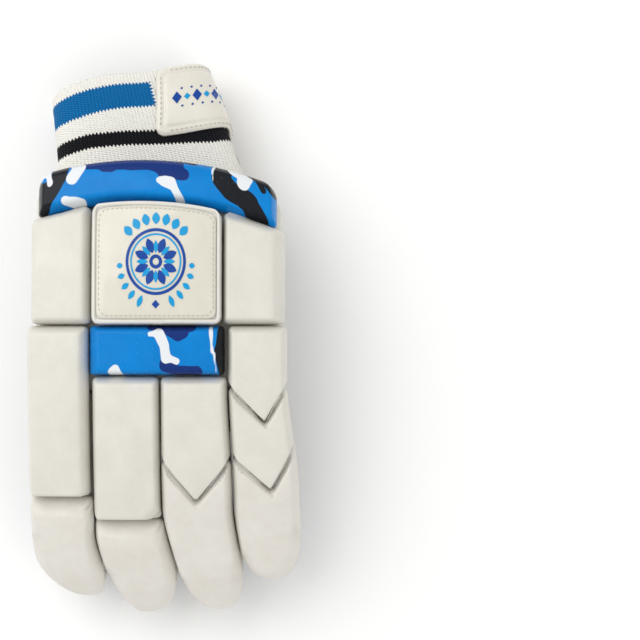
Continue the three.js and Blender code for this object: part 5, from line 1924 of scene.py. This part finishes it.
def add_thumb_pads():
    shear = (THUMB_ROOT_X - THUMB_TIP_X) / (THUMB_BASE + THUMB_REACH)
    tip = -THUMB_REACH - THUMB_PAD_OVERHANG
    seams = [lerp(-THUMB_REACH, THUMB_BASE, share) for share in THUMB_SEAMS]
    ends = [tip, *seams, THUMB_BASE + THUMB_PAD_OVERHANG]
    for i, (name, material, slot, chart) in enumerate(
        (
            ("thumb_tip_pad", *leather("roll_leather"), None),
            ("thumb_middle_pad", CAMOUFLAGE, "camouflage_leather", THUMB_CHART),
            ("thumb_base_pad", *leather("roll_leather"), None),
        )
    ):
        middle = thumb_x(ends[i]) + THUMB_PAD_OFFSET
        sides = (middle - THUMB_PAD_HALF_WIDTH, middle + THUMB_PAD_HALF_WIDTH)
        round_end = fingertip(*sides, middle, -tip, (THUMB_TIP_ROUND, THUMB_TIP_ROUND))
        start = level(ends[i] + PAD_CLEARANCE) if i else round_end
        shape = {
            "base": THUMB_PAD_BASE,
            "thickness": THUMB_PAD,
            "sides": (THUMB_PAD_SHOULDER, THUMB_PAD_SHOULDER),
            "ends": (THUMB_PAD_SHOULDER if i == 0 else 2.5, THUMB_PAD_SHOULDER if i == 2 else 2.5),
            "corners": (CORNER if i else THUMB_TIP_CORNER, THUMB_BASE_CORNER if i == 2 else 1),
            "down": True,
            "shear": shear,
            "sheared_from": ends[i],
            "pleats": i == 0,
            "crown": 0.2,
        }
        add_pad(name, material, slot, sides, start, level(ends[i + 1]), chart=chart, shape=shape)


# Floor, camera and light
FLOOR_HALF = 3


def add_floor():
    data = bpy.data.meshes.new("floor")
    turns = ((-1, -1), (1, -1), (1, 1), (-1, 1))
    corners = [(FLOOR_HALF * x, FLOOR_HALF * y, 0) for x, y in turns]
    data.from_pydata(corners, [], [(0, 1, 2, 3)])
    look = Look("floor_finish", specular=0.2)
    spread = look.node("TexNoise")
    spread.inputs["Scale"].default_value = 3
    colour = look.mix(spread.outputs["Fac"], (0.95, 0.95, 0.945), (0.97, 0.97, 0.965))
    data.materials.append(look.done(colour, 0.9))
    floor = bpy.data.objects.new("floor", data)
    bpy.context.scene.collection.objects.link(floor)


CAMERA_PLACE = (0.0827, 0.0094)
CAMERA_HEIGHT = 1.5
VIEW_WIDTH = 0.342
VIEW_LEVEL = 0.06
SENSOR = 36


def add_camera():
    data = bpy.data.cameras.new("camera")
    data.sensor_width = SENSOR
    data.lens = SENSOR * (CAMERA_HEIGHT - VIEW_LEVEL) / VIEW_WIDTH
    camera = bpy.data.objects.new("camera", data)
    camera.location = (*CAMERA_PLACE, CAMERA_HEIGHT)
    bpy.context.scene.collection.objects.link(camera)
    bpy.context.scene.camera = camera


# Lights: place and size in metres, and power in watts
LIGHTS = {
    "key": ((-0.85, 0.6, 1.3), 1.5, 14.5),
    "fill": ((1.2, -0.9, 1.0), 1.4, 4.5),
}
LIGHT_TARGET = (0, 0, 0.05)
SKY_TONE = (1, 0.995, 0.98, 1)
SKY_STRENGTH = 0.76


def add_lights():
    for name, (place, size, power) in LIGHTS.items():
        data = bpy.data.lights.new(name, "AREA")
        data.size = size
        data.energy = power
        light = bpy.data.objects.new(name, data)
        light.location = place
        light.rotation_euler = (Vector(LIGHT_TARGET) - Vector(place)).to_track_quat("-Z", "Y").to_euler()
        bpy.context.scene.collection.objects.link(light)
    world = bpy.data.worlds.new("studio")
    world.use_nodes = True
    background = world.node_tree.nodes["Background"]
    background.inputs["Color"].default_value = SKY_TONE
    background.inputs["Strength"].default_value = SKY_STRENGTH
    bpy.context.scene.world = world
    bpy.context.scene.view_settings.view_transform = "Standard"


add_back()
add_tip_pads()
add_backings()
add_back_stitches()
add_badge_stitches()
add_badge_motif()
add_gussets()
add_palm()
add_palm_piping()
add_palm_stitches()
add_palm_vents()
add_wrist_zigzag()
add_vent_binding()
add_cuff()
add_strap()
add_strap_stitches()
add_strap_motifs()
add_thumb()
add_thumb_pads()
add_floor()
add_camera()
add_lights()
